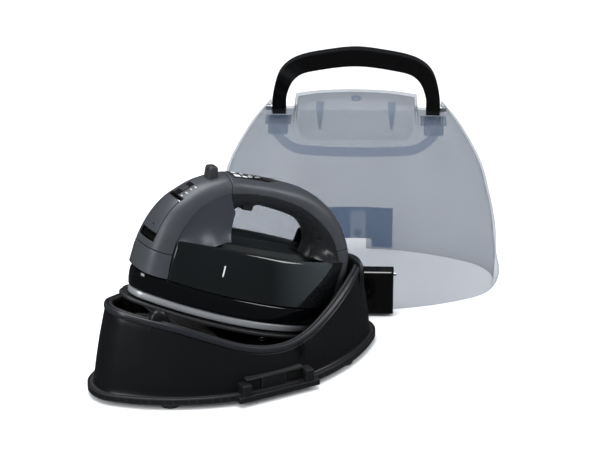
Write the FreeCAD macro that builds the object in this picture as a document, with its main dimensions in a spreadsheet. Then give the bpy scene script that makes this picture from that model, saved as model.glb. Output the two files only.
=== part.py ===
"""Cordless steam iron on its docking base, with the lift-off carrying case standing behind it.

Millimetres. The row origin is on the floor under the middle of the whole set, +Z is up and +X runs along
the base from the iron's nose to its heel. Shapes are drawn in three local frames: the base's, from the
middle of its own outline, the docked iron's (pitched nose-up on the base) and the case's (turned on the
floor behind the base).
"""
import FreeCAD, Part
import math
import os
import Sketcher
from FreeCAD import Placement, Rotation, Vector

SIZES = [
    # whole set
    ("set_middle_x", 97.03, "middle of the set's outline from the base's middle, along the base"),
    ("set_middle_y", 71.48, "middle of the set's outline from the base's middle, across the base"),
    # base
    ("base_length", 302, "flange, end to end"),
    ("base_width", 168, "flange, side to side"),
    ("base_end_radius", 35, "round ends of the flange"),
    ("foot_height", 4.5, "rubber feet below the floor pan"),
    ("foot_radius", 9, "rubber feet"),
    ("foot_reach_x", 92, "feet from the middle, along the base"),
    ("foot_reach_y", 48, "feet from the middle, across the base"),
    ("flange_height", 6, "floor pan, bottom to flange top"),
    ("floor_thickness", 2.8, "floor pan inside the flange"),
    ("flange_step", 6, "flange standing out of the shell wall"),
    ("shell_lean", 8, "how far the wall leans inward over its height"),
    ("wall_top", 100, "height the wall lofts run to before the rim trims them"),
    ("wall_thickness", 2.6, "base shell wall"),
    ("latch_post_height", 30, "top of the latch posts"),
    ("tray_thickness", 3.3, "rest tray plate"),
    ("tray_gap", 0.9, "sole plate to rest tray"),
    ("tray_margin", 7.5, "rest tray outside the sole plate"),
    ("tray_pin_radius", 2.5, "hinge pin of the rest tray"),
    ("reel_radius", 36, "cord reel flanges"),
    ("reel_height", 22.6, "cord reel, flange to flange"),
    ("reel_place_x", -58, "reel axis along the base"),
    ("shaft_radius", 5.95, "reel shaft"),
    ("running_gap", 0.05, "radial gap of every running fit"),
    ("cord_radius", 3.05, "mains cord"),
    ("button_radius", 7.5, "rewind button"),
    # iron
    ("iron_pitch", 21, "nose-up angle of the docked iron, degrees"),
    ("iron_place_x", 1.8, "iron origin in the row frame"),
    ("iron_place_z", 55, "iron origin in the row frame"),
    ("iron_middle_x", -11, "middle of the body in the iron frame"),
    ("sole_length", 214, "sole plate"),
    ("sole_width", 99, "sole plate"),
    ("sole_end_radius", 18, "sole plate tips"),
    ("sole_thickness", 7, "sole plate"),
    ("body_half_length", 111.5, "body above the skirt"),
    ("body_half_width", 52, "body above the skirt"),
    ("skirt_top", 25, "top of the glossy skirt"),
    ("body_bottom", 25.8, "underside of the body"),
    ("shell_thickness", 2.5, "iron shells"),
    ("seam", 0.3, "gap at every shell seam"),
    ("tank_front_x", -100, "front end of the smoky tank"),
    ("tank_rear_x", 73, "rear end of the smoky tank at its ridge"),
    ("tank_slant", 0.76, "tank's rear end, run forward per millimetre down"),
    ("tank_top", 67, "ridge of the tank"),
    ("nose_split_z", 49, "seam between the two nose pieces"),
    ("heel_split_z", 74, "seam between heel cover and handle"),
    ("contact_height", 40, "contacts above the sole"),
    ("contact_pitch", 9, "contact spacing"),
    ("contact_radius", 1.8, "spring contact pins"),
    ("knob_radius", 6.2, "steam knob"),
    # case
    ("case_place_x", 205, "case middle along the base, from the base middle"),
    ("case_place_y", 124, "case middle across from the base middle"),
    ("case_yaw", -31, "case turned about the vertical, degrees"),
    ("case_wall", 2.4, "case shell"),
    ("case_crown", 206, "top of the case"),
    ("handle_half_width", 86, "carry handle, outside"),
    ("handle_bar", 14, "carry handle legs"),
    ("handle_height", 254, "top of the carry handle"),
    ("pivot_height", 190, "handle pivot above the floor"),
    ("pivot_radius", 3, "handle pivot pins"),
]

doc = FreeCAD.newDocument("steam_iron_set")
sheet = doc.addObject("Spreadsheet::Sheet", "Sizes")
for row, (alias, value, meaning) in enumerate(SIZES, start=1):
    sheet.set(f"A{row}", alias)
    sheet.set(f"B{row}", str(value))
    sheet.setAlias(f"B{row}", alias)
    sheet.set(f"C{row}", meaning)
doc.recompute()


def size(alias):
    """A driving dimension, read from the sheet."""
    return float(getattr(sheet, alias))


BASE = Placement(Vector(-size("set_middle_x"), -size("set_middle_y"), 0), Rotation())
DOCKED = Placement(Vector(size("iron_place_x"), 0, size("iron_place_z")),
                   Rotation(Vector(0, 1, 0), size("iron_pitch")))
IRON = BASE.multiply(DOCKED)
CASE = BASE.multiply(Placement(Vector(size("case_place_x"), size("case_place_y"), 0),
                               Rotation(Vector(0, 0, 1), size("case_yaw"))))
NODES = []

Y_AXIS = Vector(0, 1, 0)
Z_AXIS = Vector(0, 0, 1)


# ---------------------------------------------------------------- building helpers

def node(obj, label, place=BASE):
    """Name a finished sub-part, put it in its place and keep it for the export."""
    obj.Label = label
    obj.Placement = place.multiply(obj.Placement)
    NODES.append(obj)
    return obj


def on_base(spot, turn):
    """A placement given in the base's frame."""
    return BASE.multiply(Placement(spot, turn))


def primitive(kind, name, at=(0, 0, 0), turn=None, **properties):
    """A Part primitive; text values are expressions on the sheet."""
    obj = doc.addObject(f"Part::{kind}", name)
    for key, value in properties.items():
        if isinstance(value, str):
            obj.setExpression(key, value)
        else:
            setattr(obj, key, value)
    obj.Placement = Placement(Vector(*at), turn or Rotation())
    return obj


def cut(name, base, tool):
    obj = doc.addObject("Part::Cut", name)
    obj.Base, obj.Tool = base, tool
    return obj


def fuse(name, pieces):
    obj = doc.addObject("Part::MultiFuse", name)
    obj.Shapes = pieces
    return obj


def group(name, pieces):
    """Several separate solids that share one node."""
    obj = doc.addObject("Part::Compound", name)
    obj.Links = pieces
    return obj


def feature(label, shape, place=BASE):
    """A sub-part whose shape is worked out from the sheet with Part's own functions."""
    if shape.ShapeType == "Compound" and len(shape.Solids) == 1:
        shape = shape.Solids[0]
    obj = doc.addObject("Part::Feature", label)
    obj.Shape = shape
    return node(obj, label, place)


def oval(half_length, half_width, end_radius, z=0.0, middle_x=0.0):
    """Wire of four tangent arcs: two round ends joined by two long side arcs."""
    reach = half_length - end_radius
    side_radius = (reach**2 + half_width**2 - end_radius**2) / (2 * (half_width - end_radius))
    drop = side_radius - half_width
    span = math.hypot(reach, drop)
    tangent_x = reach + end_radius * reach / span
    tangent_y = end_radius * drop / span

    def at(x, y):
        return Vector(middle_x + x, y, z)

    corners = [at(tangent_x, -tangent_y), at(tangent_x, tangent_y),
               at(-tangent_x, tangent_y), at(-tangent_x, -tangent_y)]
    middles = [at(half_length, 0), at(0, half_width), at(-half_length, 0), at(0, -half_width)]
    arcs = [Part.Arc(corners[i], middles[i], corners[(i + 1) % 4]) for i in range(4)]
    return Part.Wire([arc.toShape() for arc in arcs])


def loft(rings, inset=0.0, middle_x=0.0, ruled=False):
    """Solid through ovals given as (z, half_length, half_width, end_radius), all inset alike."""
    wires = [oval(a - inset, b - inset, max(r - inset, 1.0), z, middle_x) for z, a, b, r in rings]
    return Part.makeLoft(wires, True, ruled)


def side_profile(edges, half_depth, inset=0.0):
    """Solid of a side view in the XZ plane, drawn as edges, carried across the width."""
    wire = Part.Wire(Part.__sortEdges__(edges))
    face = Part.Face(wire)
    if inset:
        face = face.makeOffset2D(-inset).toNurbs().Faces[0]
    face.translate(Vector(0, -half_depth, 0))
    return face.extrude(Vector(0, 2 * half_depth, 0))


def curve(points):
    spline = Part.BSplineCurve()
    spline.interpolate([Vector(x, 0, z) for x, z in points])
    return spline.toShape()


def lines(points):
    corners = [Vector(x, 0, z) for x, z in points]
    return [Part.makeLine(a, b) for a, b in zip(corners, corners[1:])]


def block(low, high):
    """Box from its lowest to its highest corner."""
    spans = [b - a for a, b in zip(low, high)]
    return Part.makeBox(*spans, Vector(*low))


def rod(radius, start, end):
    """Cylinder between two points."""
    along = Vector(*end) - Vector(*start)
    return Part.makeCylinder(radius, along.Length, Vector(*start), along)


def placed(shape, place):
    moved = shape.copy()
    moved.Placement = place.multiply(moved.Placement)
    return moved


def all_of(shapes):
    return shapes[0].multiFuse(shapes[1:]) if len(shapes) > 1 else shapes[0]


def origin_plane(body, role):
    return next(item for item in body.Origin.OriginFeatures if item.Role == role)


def sketch_on(body, name, role="XY_Plane", lift=None, lift_expression=None):
    """Sketch on one of the body's own origin planes, lifted along its normal."""
    sketch = body.newObject("Sketcher::SketchObject", name)
    sketch.AttachmentSupport = (origin_plane(body, role), [""])
    sketch.MapMode = "FlatFace"
    if lift_expression:
        sketch.setExpression("AttachmentOffset.Base.z", lift_expression)
    elif lift:
        sketch.AttachmentOffset = Placement(Vector(0, 0, lift), Rotation())
    return sketch


def draw_oval(sketch, length, width, end_radius):
    """Four tangent arcs in a sketch, sized by expressions for length, width and end radius."""
    a, b, r = (float(sheet.evalExpression(text)) for text in (length, width, end_radius))
    a, b = a / 2, b / 2
    wire = oval(a, b, r)
    for edge in wire.Edges:
        middle = edge.Curve.Center
        first = edge.Vertexes[0].Point - middle
        last = edge.Vertexes[-1].Point - middle
        start = math.atan2(first.y, first.x)
        end = math.atan2(last.y, last.x)
        if end < start:
            end += 2 * math.pi
        circle = Part.Circle(middle, Z_AXIS, edge.Curve.Radius)
        sketch.addGeometry(Part.ArcOfCircle(circle, start, end), False)
    for first in range(4):
        second = (first + 1) % 4
        sketch.addConstraint(Sketcher.Constraint("Tangent", first, 2, second, 1))
    sketch.addConstraint(Sketcher.Constraint("PointOnObject", 0, 3, -1))
    sketch.addConstraint(Sketcher.Constraint("PointOnObject", 2, 3, -1))
    sketch.addConstraint(Sketcher.Constraint("Equal", 0, 2))
    sketch.addConstraint(Sketcher.Constraint("Equal", 1, 3))
    half, tip = f"(({width}) / 2)", f"({end_radius})"
    reach = f"(({length}) / 2 - {tip})"
    side = f"({reach}^2 + {half}^2 - {tip}^2) / (2 * ({half} - {tip}))"
    sizes = [(Sketcher.Constraint("Radius", 0, r), end_radius),
             (Sketcher.Constraint("Radius", 1, wire.Edges[1].Curve.Radius), side),
             (Sketcher.Constraint("DistanceX", -1, 1, 0, 3, a - r), reach),
             (Sketcher.Constraint("DistanceX", 2, 3, -1, 1, a - r), reach)]
    for constraint, expression in sizes:
        index = sketch.addConstraint(constraint)
        sketch.setExpression(f"Constraints[{index}]", expression)


def oval_pad(body, name, length, width, end_radius, thickness, lift=None, pocket=False):
    """Pad, or pocket cut downwards, of an oval sketch; all sizes are expressions."""
    sketch = sketch_on(body, f"{name}Sketch", lift_expression=lift)
    draw_oval(sketch, length, width, end_radius)
    doc.recompute()
    kind = "PartDesign::Pocket" if pocket else "PartDesign::Pad"
    made = body.newObject(kind, name)
    made.Profile = sketch
    made.setExpression("Length", thickness)
    before = body.Shape.Volume if pocket else 0
    doc.recompute()
    if pocket and not made.Shape.Volume < before:
        raise RuntimeError(f"{name} cut nothing")
    return made


# ---------------------------------------------------------------- the base

BASE_A = size("base_length") / 2
BASE_B = size("base_width") / 2
BASE_R = size("base_end_radius")
PAN_TOP = size("foot_height") + size("flange_height")
FLOOR_TOP = size("foot_height") + size("floor_thickness")
WALL_TOP = size("wall_top")
RIM = [(-160, 88), (-134, 87.5), (-105, 83.5), (-70, 74), (-40, 59), (-9, 46),
       (14, 42.8), (39, 51), (71, 75), (95, 84.5), (125, 88.5), (160, 89)]
DECK_TOP = [(-170, 92), (-134, 84), (-104, 66), (40, 22), (78, 10), (170, 10)]
DECK_THICKNESS = 2.4
DEEP = 120

WALL_RINGS = [(PAN_TOP, BASE_A - size("flange_step"), BASE_B - size("flange_step"), BASE_R - 2),
              (WALL_TOP, BASE_A - size("flange_step") - size("shell_lean"),
               BASE_B - size("flange_step") - size("shell_lean"), BASE_R - 8)]
WELL_RINGS = [(8, BASE_A - 11.8, BASE_B - 11.8, BASE_R - 5),
              (WALL_TOP, BASE_A - 17.6, BASE_B - 17.6, BASE_R - 11)]


def under_rim(drop=0.0):
    """Everything below the saddle-shaped rim."""
    top = [(x, z - drop) for x, z in RIM]
    return side_profile([curve(top)] + lines([top[-1], (160, 0), (-160, 0), top[0]]), DEEP)


def over_deck(drop=0.0):
    """Everything above the top of the well's deck."""
    top = [(x, z - drop) for x, z in DECK_TOP]
    return side_profile(lines(top + [(170, 140), (-170, 140), top[0]]), DEEP)


def base_floor():
    body = doc.addObject("PartDesign::Body", "BaseFloor")
    oval_pad(body, "Pan", "Sizes.base_length", "Sizes.base_width", "Sizes.base_end_radius",
             "Sizes.flange_height", lift="Sizes.foot_height")
    oval_pad(body, "Inside", "Sizes.base_length - 22", "Sizes.base_width - 22",
             "Sizes.base_end_radius - 5", "Sizes.flange_height - Sizes.floor_thickness",
             lift="Sizes.foot_height + Sizes.flange_height", pocket=True)
    holes = sketch_on(body, "ScrewHoleSketch", lift_expression="Sizes.foot_height + Sizes.floor_thickness")
    for x, y in SCREW_PLACES:
        index = holes.addGeometry(Part.Circle(Vector(x, y, 0), Z_AXIS, SCREW_SHANK + 0.1), False)
        holes.addConstraint(Sketcher.Constraint("Radius", index, SCREW_SHANK + 0.1))
    doc.recompute()
    drilled = body.newObject("PartDesign::Pocket", "ScrewHoles")
    drilled.Profile = holes
    drilled.Type = "ThroughAll"
    doc.recompute()
    node(body, "base_floor")


SCREW_PLACES = [(-60, 45), (60, 45), (-60, -45), (60, -45)]
SCREW_SHANK = 2.0


def base_screws():
    screws = []
    for number, (x, y) in enumerate(SCREW_PLACES):
        head = primitive("Cylinder", f"BaseScrewHead{number}", (x, y, size("foot_height") - 1.8),
                         Radius=3.8, Height=1.8)
        shank = primitive("Cylinder", f"BaseScrewShank{number}", (x, y, size("foot_height") - 0.5),
                          Radius=SCREW_SHANK, Height=11.5)
        screws.append(fuse(f"BaseScrew{number}", [head, shank]))
    node(group("BaseScrews", screws), "base_screws")


PLUG_X, PLUG_Z = -14, 24


def base_shell():
    wall = loft(WALL_RINGS, ruled=True).cut(loft(WALL_RINGS, size("wall_thickness"), ruled=True))
    shell = wall.common(under_rim())
    press_hole = rod(size("button_radius") + 0.3, (size("reel_place_x"), 50, 28),
                     (size("reel_place_x"), 90, 28))
    plug_mouth = rod(11.5, (PLUG_X, 50, PLUG_Z), (PLUG_X, 95, PLUG_Z))
    shell = shell.cut(press_hole).cut(plug_mouth)
    slit = block((33.5, -90, 32), (34.5, -60, 44))
    feature("base_shell", shell.cut(slit))


def latch_posts():
    step = block((-40, -BASE_B - 4, PAN_TOP - 5), (44, -BASE_B + 6, PAN_TOP))
    pan = Part.Face(oval(BASE_A, BASE_B, BASE_R, 0)).extrude(Vector(0, 0, 40))
    outside = block((-60, -100, 0), (60, -40, 60)).cut(loft(WALL_RINGS, ruled=True))
    posts = [block((low, -BASE_B - 2.5, PAN_TOP), (high, -60, size("latch_post_height"))).common(outside)
             for low, high in ((-35, -22), (27, 39.5))]
    ledge = block((-22, -BASE_B + 1.5, 24), (27, -60, 26)).common(outside)
    shelf = step.cut(pan)
    feature("latch_posts", all_of(posts + [ledge, shelf]))


def rubber_feet():
    feet = []
    for number, (sx, sy) in enumerate([(-1, -1), (-1, 1), (1, -1), (1, 1)]):
        foot = primitive("Cylinder", f"Foot{number}",
                         (sx * size("foot_reach_x"), sy * size("foot_reach_y"), 0),
                         Radius="Sizes.foot_radius", Height="Sizes.foot_height")
        feet.append(foot)
    node(group("Feet", feet), "rubber_feet")


def well_solid(inset=0.0):
    return loft(WELL_RINGS, inset, ruled=True)


def well_liner():
    """Thin inner skin of the well: side wall, sloping deck and the bosses that take the screws."""
    skin = well_solid().cut(well_solid(2.2))
    wall = skin.common(under_rim(1.0)).common(over_deck(DECK_THICKNESS))
    deck = well_solid().common(over_deck(DECK_THICKNESS)).cut(over_deck())
    deck = deck.common(under_rim(1.0))
    bosses = [rod(4.5, (x, y, FLOOR_TOP + 0.1), (x, y, 60)) for x, y in SCREW_PLACES]
    bores = [rod(SCREW_SHANK + 0.02, (x, y, 0), (x, y, PAN_TOP + 5.5)) for x, y in SCREW_PLACES]
    bosses = [boss.cut(over_deck(DECK_THICKNESS / 2)) for boss in bosses]
    feature("well_liner", all_of([wall, deck] + bosses).cut(all_of(bores)).removeSplitter())


PIN_X, PIN_Z = -95.0, 84.4


def tray_pedestals():
    """Two pillow blocks on the deck that carry the rest tray's hinge pin."""
    flanks = curve([(-112, 60), (-105, 66), (-101.5, 78), (-101, 84)])
    crown = Part.Arc(Vector(-101, 0, 84), Vector(-95, 0, 90), Vector(-89, 0, 84)).toShape()
    back = curve([(-89, 84), (-88, 76), (-84, 64), (-76, 50)])
    solid = side_profile([flanks, crown, back] + lines([(-76, 50), (-112, 50), (-112, 60)]), 42)
    bore = rod(size("tray_pin_radius") + size("running_gap"), (PIN_X, -50, PIN_Z), (PIN_X, 50, PIN_Z))
    solid = solid.common(over_deck(-0.1)).cut(block((-130, -36, 0), (-60, 36, 120)))
    inside = well_solid(2.4)
    feature("tray_pedestals", solid.cut(bore).common(inside))


def tray_pin():
    pin = primitive("Cylinder", "TrayPin", Radius="Sizes.tray_pin_radius", Height=83)
    node(pin, "tray_pin", on_base(Vector(PIN_X, 41.5, PIN_Z), Rotation(Vector(1, 0, 0), 90)))


def rest_tray():
    """Oval plate under the sole, with two ears on the hinge pin; in the iron frame."""
    body = doc.addObject("PartDesign::Body", "RestTrayPlate")
    margin = "2 * Sizes.tray_margin"
    oval_pad(body, "Plate", f"Sizes.sole_length + {margin}", f"Sizes.sole_width + {margin}",
             "Sizes.sole_end_radius + 4", "Sizes.tray_thickness")
    body.Placement = Placement(Vector(size("iron_middle_x"), 0,
                                      -size("tray_gap") - size("tray_thickness")), Rotation())
    pin = DOCKED.inverse().multVec(Vector(PIN_X, 0, PIN_Z))
    ears = []
    for number, side in enumerate((-16, 12)):
        knuckle = primitive("Cylinder", f"TrayKnuckle{number}", (pin.x, side + 4, pin.z),
                            Rotation(Vector(1, 0, 0), 90), Radius=4.2, Height=4)
        web = primitive("Box", f"TrayWeb{number}", (pin.x - 3, side, pin.z),
                        Length=6, Width=4, Height=-pin.z - size("tray_gap") - 1)
        ears += [knuckle, web]
    plate = fuse("TrayWithEars", [body] + ears)
    bore = primitive("Cylinder", "TrayBore", (pin.x, 60, pin.z), Rotation(Vector(1, 0, 0), 90),
                     Radius="Sizes.tray_pin_radius + Sizes.running_gap", Height=120)
    node(cut("RestTray", plate, bore), "rest_tray", IRON)


def tray_springs():
    """Two coil springs between the deck and the tray."""
    springs = []
    for side in (-25, 25):
        helix = Part.makeHelix(2.6, 10.4, 4.2)
        ring = Part.Wire([Part.makeCircle(0.7, Vector(4.2, 0, 0), Y_AXIS)])
        coil = Part.Wire(helix.Edges).makePipeShell([ring], True, True)
        coil.translate(Vector(17, side, 30.9))
        springs.append(coil)
    feature("tray_springs", Part.makeCompound(springs))


def iron_point(x, z):
    """A point of the iron frame's middle plane, in the base's frame."""
    spot = DOCKED.multVec(Vector(x, 0, z))
    return (spot.x, spot.z)


TOWER_FACE = 104.5
CONTACT_SPOTS = [-size("contact_pitch"), 0.0, size("contact_pitch")]


def terminal_tower():
    """Dark block behind the heel that holds the contact pins, with a rounded cap over the rim."""
    foot, head = iron_point(TOWER_FACE, -6.6), iron_point(TOWER_FACE, 70)
    stem = side_profile(lines([foot, head, (150, head[1]), (150, foot[1]), foot]), 26)
    stem = stem.common(well_solid(2.4)).common(over_deck(-0.2))
    over = (127, 93.5)
    crown = Part.Arc(Vector(over[0], 0, over[1]), Vector(134, 0, 96), Vector(139, 0, 91)).toShape()
    cap_edges = [crown] + lines([(139, 91), (139, 89.6), (130, 89.6), (130, head[1] - 2),
                                 (head[0] - 0.6, head[1] - 2), over])
    cap = side_profile(cap_edges, 30).common(loft([(70, 139, 70, 27), (100, 137, 68, 26)], ruled=True))
    cap = cap.cut(under_rim(-0.4).cut(well_solid(2.4)))
    bores = [placed(rod(size("contact_radius") + 0.1, (100, y, size("contact_height")),
                        (118, y, size("contact_height"))), DOCKED) for y in CONTACT_SPOTS]
    feature("terminal_tower", stem.fuse(cap).cut(all_of(bores)).removeSplitter())


def contact_pins():
    pins = []
    for number, y in enumerate(CONTACT_SPOTS):
        pins.append(primitive("Cylinder", f"ContactPin{number}", (101.6, y, size("contact_height")),
                              Rotation(Y_AXIS, 90), Radius="Sizes.contact_radius", Height=11))
    node(group("ContactPins", pins), "contact_pins", IRON)


def terminal_block():
    """Screw terminal block on the floor pan, under the deck."""
    box = primitive("Box", "TerminalBox", (0, 24, FLOOR_TOP), Length=34, Width=16, Height=12)
    wells = [primitive("Cylinder", f"TerminalWell{i}", (6 + 11 * i, 32, FLOOR_TOP + 6),
                       Radius=3, Height=10) for i in range(3)]
    node(cut("TerminalBlock", box, group("TerminalWells", wells)), "terminal_block")


def heat_shield():
    """Pale ribbed plate lying on the deck under the nose of the iron."""
    slope = math.degrees(math.atan2(44, 144))
    plate = primitive("Box", "ShieldPlate", (0, -26, 0), Length=64, Width=52, Height=1.2)
    ribs = [primitive("Box", f"ShieldRib{i}", (8 + 9 * i, -20, 1.0), Length=2, Width=40, Height=1.4)
            for i in range(6)]
    node(fuse("HeatShield", [plate] + ribs), "heat_shield",
         on_base(Vector(-78, 0, 66 - 26 * 44 / 144 + 0.15), Rotation(Y_AXIS, slope)))


REEL_LOW = 9.0


def reel_shaft():
    shaft = primitive("Cylinder", "ReelShaft", Radius="Sizes.shaft_radius", Height=31)
    node(shaft, "reel_shaft", on_base(Vector(size("reel_place_x"), 0, FLOOR_TOP), Rotation()))


def cord_reel():
    """Hub with two flanges, turned in one piece."""
    body = doc.addObject("PartDesign::Body", "ReelBody")
    sketch = sketch_on(body, "ReelSketch", "XZ_Plane")
    bore = size("shaft_radius") + size("running_gap")
    outer, hub, web, top = size("reel_radius"), 14.0, 1.6, size("reel_height")
    corners = [(bore, 0), (outer, 0), (outer, web), (hub, web),
               (hub, top - web), (outer, top - web), (outer, top), (bore, top)]
    expressions = {(0, 0): "Sizes.shaft_radius + Sizes.running_gap", (1, 0): "Sizes.reel_radius",
                   (7, 1): "Sizes.reel_height"}
    count = len(corners)
    for i in range(count):
        start, end = Vector(*corners[i], 0), Vector(*corners[(i + 1) % count], 0)
        sketch.addGeometry(Part.LineSegment(start, end), False)
    for i in range(count):
        sketch.addConstraint(Sketcher.Constraint("Coincident", i, 2, (i + 1) % count, 1))
    for (corner, axis), expression in expressions.items():
        kind = ("DistanceX", "DistanceY")[axis]
        index = sketch.addConstraint(Sketcher.Constraint(kind, -1, 1, corner, 1, corners[corner][axis]))
        sketch.setExpression(f"Constraints[{index}]", expression)
    for i in range(count):
        kind = "Horizontal" if corners[i][1] == corners[(i + 1) % count][1] else "Vertical"
        sketch.addConstraint(Sketcher.Constraint(kind, i))
    doc.recompute()
    turned = body.newObject("PartDesign::Revolution", "ReelTurned")
    turned.Profile = sketch
    turned.ReferenceAxis = (sketch, ["V_Axis"])
    turned.Angle = 360
    doc.recompute()
    node(body, "cord_reel", on_base(Vector(size("reel_place_x"), 0, REEL_LOW), Rotation()))


def wound_cord():
    turns = []
    for layer, radius in enumerate((17.4, 23.7, 30.0)):
        for level in range(3):
            turns.append(primitive("Torus", f"CordTurn{layer}{level}", (0, 0, 4.9 + 6.35 * level),
                                   Radius1=radius, Radius2="Sizes.cord_radius"))
    node(group("WoundCord", turns), "wound_cord",
         on_base(Vector(size("reel_place_x"), 0, REEL_LOW), Rotation()))


def spring_drum():
    """Cup on the shaft above the reel that holds the rewind spring."""
    cup = primitive("Cylinder", "DrumCup", Radius=15, Height=4.5)
    bore = primitive("Cylinder", "DrumBore", (0, 0, -1), Radius="Sizes.shaft_radius + 0.02", Height=8)
    node(cut("SpringDrum", cup, bore), "spring_drum",
         on_base(Vector(size("reel_place_x"), 0, REEL_LOW + size("reel_height") + 0.6), Rotation()))


def rewind_button():
    cap = primitive("Cylinder", "ButtonCap", Radius="Sizes.button_radius", Height=12)
    dome = primitive("Sphere", "ButtonDome", (0, 0, 2.0), Radius=12)
    dished = doc.addObject("Part::Common", "ButtonDished")
    dished.Base, dished.Tool = cap, dome
    node(dished, "rewind_button",
         on_base(Vector(size("reel_place_x"), 56.5, 28), Rotation(Vector(1, 0, 0), -90)))


def mains_plug():
    """Plug body parked in its mouth in the back wall, with two flat blades."""
    grip = primitive("Cylinder", "PlugBody", (PLUG_X, 60, PLUG_Z), Rotation(Vector(1, 0, 0), -90),
                     Radius=11, Height=22)
    blades = [primitive("Box", f"PlugBlade{i}", (PLUG_X + x, 81, PLUG_Z - 3.2),
                        Length=1.5, Width=15, Height=6.35)
              for i, x in enumerate((-7.1, 5.6))]
    node(fuse("MainsPlug", [grip] + blades), "mains_plug")


def cord_tail():
    """Cord from the reel's edge to the back of the plug."""
    start, end = Vector(-40, 38.5, 20), Vector(PLUG_X, 59.8, PLUG_Z)
    spline = Part.BSplineCurve()
    spline.interpolate([start, Vector(-24, 43, 20), end],
                       InitialTangent=Vector(1, 0.2, 0), FinalTangent=Vector(0, 1, 0))
    path = Part.Wire([spline.toShape()])
    ring = Part.Wire([Part.makeCircle(size("cord_radius"), start, Vector(1, 0.2, 0))])
    feature("cord_tail", path.makePipeShell([ring], True, True))


# ---------------------------------------------------------------- the iron

MIDDLE = size("iron_middle_x")
BODY_A, BODY_B = size("body_half_length"), size("body_half_width")
BODY_BOTTOM = size("body_bottom")
BODY_RINGS = [(BODY_BOTTOM - 2, BODY_A, BODY_B, 20), (48, BODY_A, BODY_B - 0.5, 20),
              (67, BODY_A, 47.5, 20), (85, BODY_A, 37.5, 18), (103, BODY_A - 1, 26, 14),
              (118, BODY_A - 2, 20, 11), (134, BODY_A - 3, 15, 9)]
TOP_LINE = [(-122.5, 38), (-122.5, 49), (-121, 62), (-118, 76), (-110, 93), (-89, 114), (-62, 127.5),
            (-35, 130.5), (0, 131.5), (31, 129), (60, 117.4), (83, 98), (96.5, 77.5), (101, 50), (101, 38)]
OPENING = (-48, 40, 68.5, 104)
OPENING_CORNER = 13


def body_outline(inset=0.0):
    """Side view of the whole body: nose, grip arch and heel."""
    low = BODY_BOTTOM - 0.1
    edges = [curve(TOP_LINE)] + lines([TOP_LINE[-1], (101, low), (-122.5, low), TOP_LINE[0]])
    return side_profile(edges, 70, inset)


def opening(outset=0.0):
    """Hand opening under the grip, through the whole width."""
    left, right, low, high = OPENING
    slab = block((left - outset, -80, low - outset), (right + outset, 80, high + outset))
    upright = [edge for edge in slab.Edges if abs(edge.tangentAt(0).y) > 0.9]
    return slab.makeFillet(OPENING_CORNER + outset, upright)


def body_solid(inset=0.0):
    """Body envelope, all faces moved in by the same amount."""
    solid = loft(BODY_RINGS, inset, MIDDLE).common(body_outline(inset))
    if inset:
        solid = solid.common(block((-200, -90, BODY_BOTTOM + inset), (200, 90, 200)))
    else:
        solid = solid.common(block((-200, -90, BODY_BOTTOM), (200, 90, 200)))
    return solid.cut(opening(inset))


OUTER = body_solid()
INNER = body_solid(size("shell_thickness"))
SHELL = OUTER.cut(INNER)


def region(points, half_depth=80):
    """Part of the side view, as a prism across the width."""
    return side_profile(lines(points + [points[0]]), half_depth)


GAP = size("seam") / 2
FRONT, REAR = size("tank_front_x"), size("tank_rear_x")
TANK_TOP = size("tank_top")


def tank_end(z):
    """Where the tank's slanting rear end is at a height."""
    return REAR - (TANK_TOP - z) * size("tank_slant")


OUTLET_Z = 33
OUTLET_X = tank_end(OUTLET_Z)
NOSE_SPLIT, HEEL_SPLIT = size("nose_split_z"), size("heel_split_z")
ARCH_SEAM_TOP, ARCH_SEAM_LOW = (-60, 140), (-43, 93)
LID_LOW, LID_HIGH, LID_HALF = 62.0, 97.0, 14.0
LID_AXIS = (-104.9, 98.2)
KNOB_FOOT = (-76.0, 119.5)
KNOB_TILT = 27
KNOB_LEAN = Vector(-math.sin(math.radians(KNOB_TILT)), 0, math.cos(math.radians(KNOB_TILT)))


def soleplate():
    """Polished plate with pointed oval outline and two rows of steam holes."""
    body = doc.addObject("PartDesign::Body", "SoleBody")
    oval_pad(body, "SolePad", "Sizes.sole_length", "Sizes.sole_width", "Sizes.sole_end_radius",
             "Sizes.sole_thickness")
    sketch = sketch_on(body, "SteamHoleSketch", lift_expression="Sizes.sole_thickness")
    for y in (-26, 26):
        index = sketch.addGeometry(Part.Circle(Vector(-60, y, 0), Z_AXIS, 1.7), False)
        sketch.addConstraint(Sketcher.Constraint("Radius", index, 1.7))
    doc.recompute()
    hole = body.newObject("PartDesign::Pocket", "SteamHole")
    hole.Profile = sketch
    hole.Type = "ThroughAll"
    doc.recompute()
    row = body.newObject("PartDesign::LinearPattern", "SteamHoles")
    row.Originals = [hole]
    row.Direction = (sketch, ["H_Axis"])
    row.Length = 120
    row.Occurrences = 9
    body.Tip = row
    doc.recompute()
    node(body, "soleplate", IRON.multiply(Placement(Vector(MIDDLE, 0, 0), Rotation())))


def heater_casting():
    body = doc.addObject("PartDesign::Body", "HeaterBody")
    oval_pad(body, "HeaterPad", "Sizes.sole_length - 26", "Sizes.sole_width - 24",
             "Sizes.sole_end_radius - 3", "8")
    node(body, "heater_casting",
         IRON.multiply(Placement(Vector(MIDDLE, 0, size("sole_thickness")), Rotation())))


HEATER_TOP = size("sole_thickness") + 8


def heating_element():
    """U-shaped sheathed element on the heater casting."""
    tube, half, nose, tail = 3.2, 24, -55, 50
    level = HEATER_TOP + tube
    start = Vector(tail, -half, level)
    arc = Part.Arc(Vector(nose, -half, level), Vector(nose - half, 0, level), Vector(nose, half, level))
    path = Part.Wire([Part.makeLine(start, Vector(nose, -half, level)), arc.toShape(),
                      Part.makeLine(Vector(nose, half, level), Vector(tail, half, level))])
    ring = Part.Wire([Part.makeCircle(tube, start, Vector(-1, 0, 0))])
    feature("heating_element", path.makePipeShell([ring], True, True), IRON)


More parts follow.
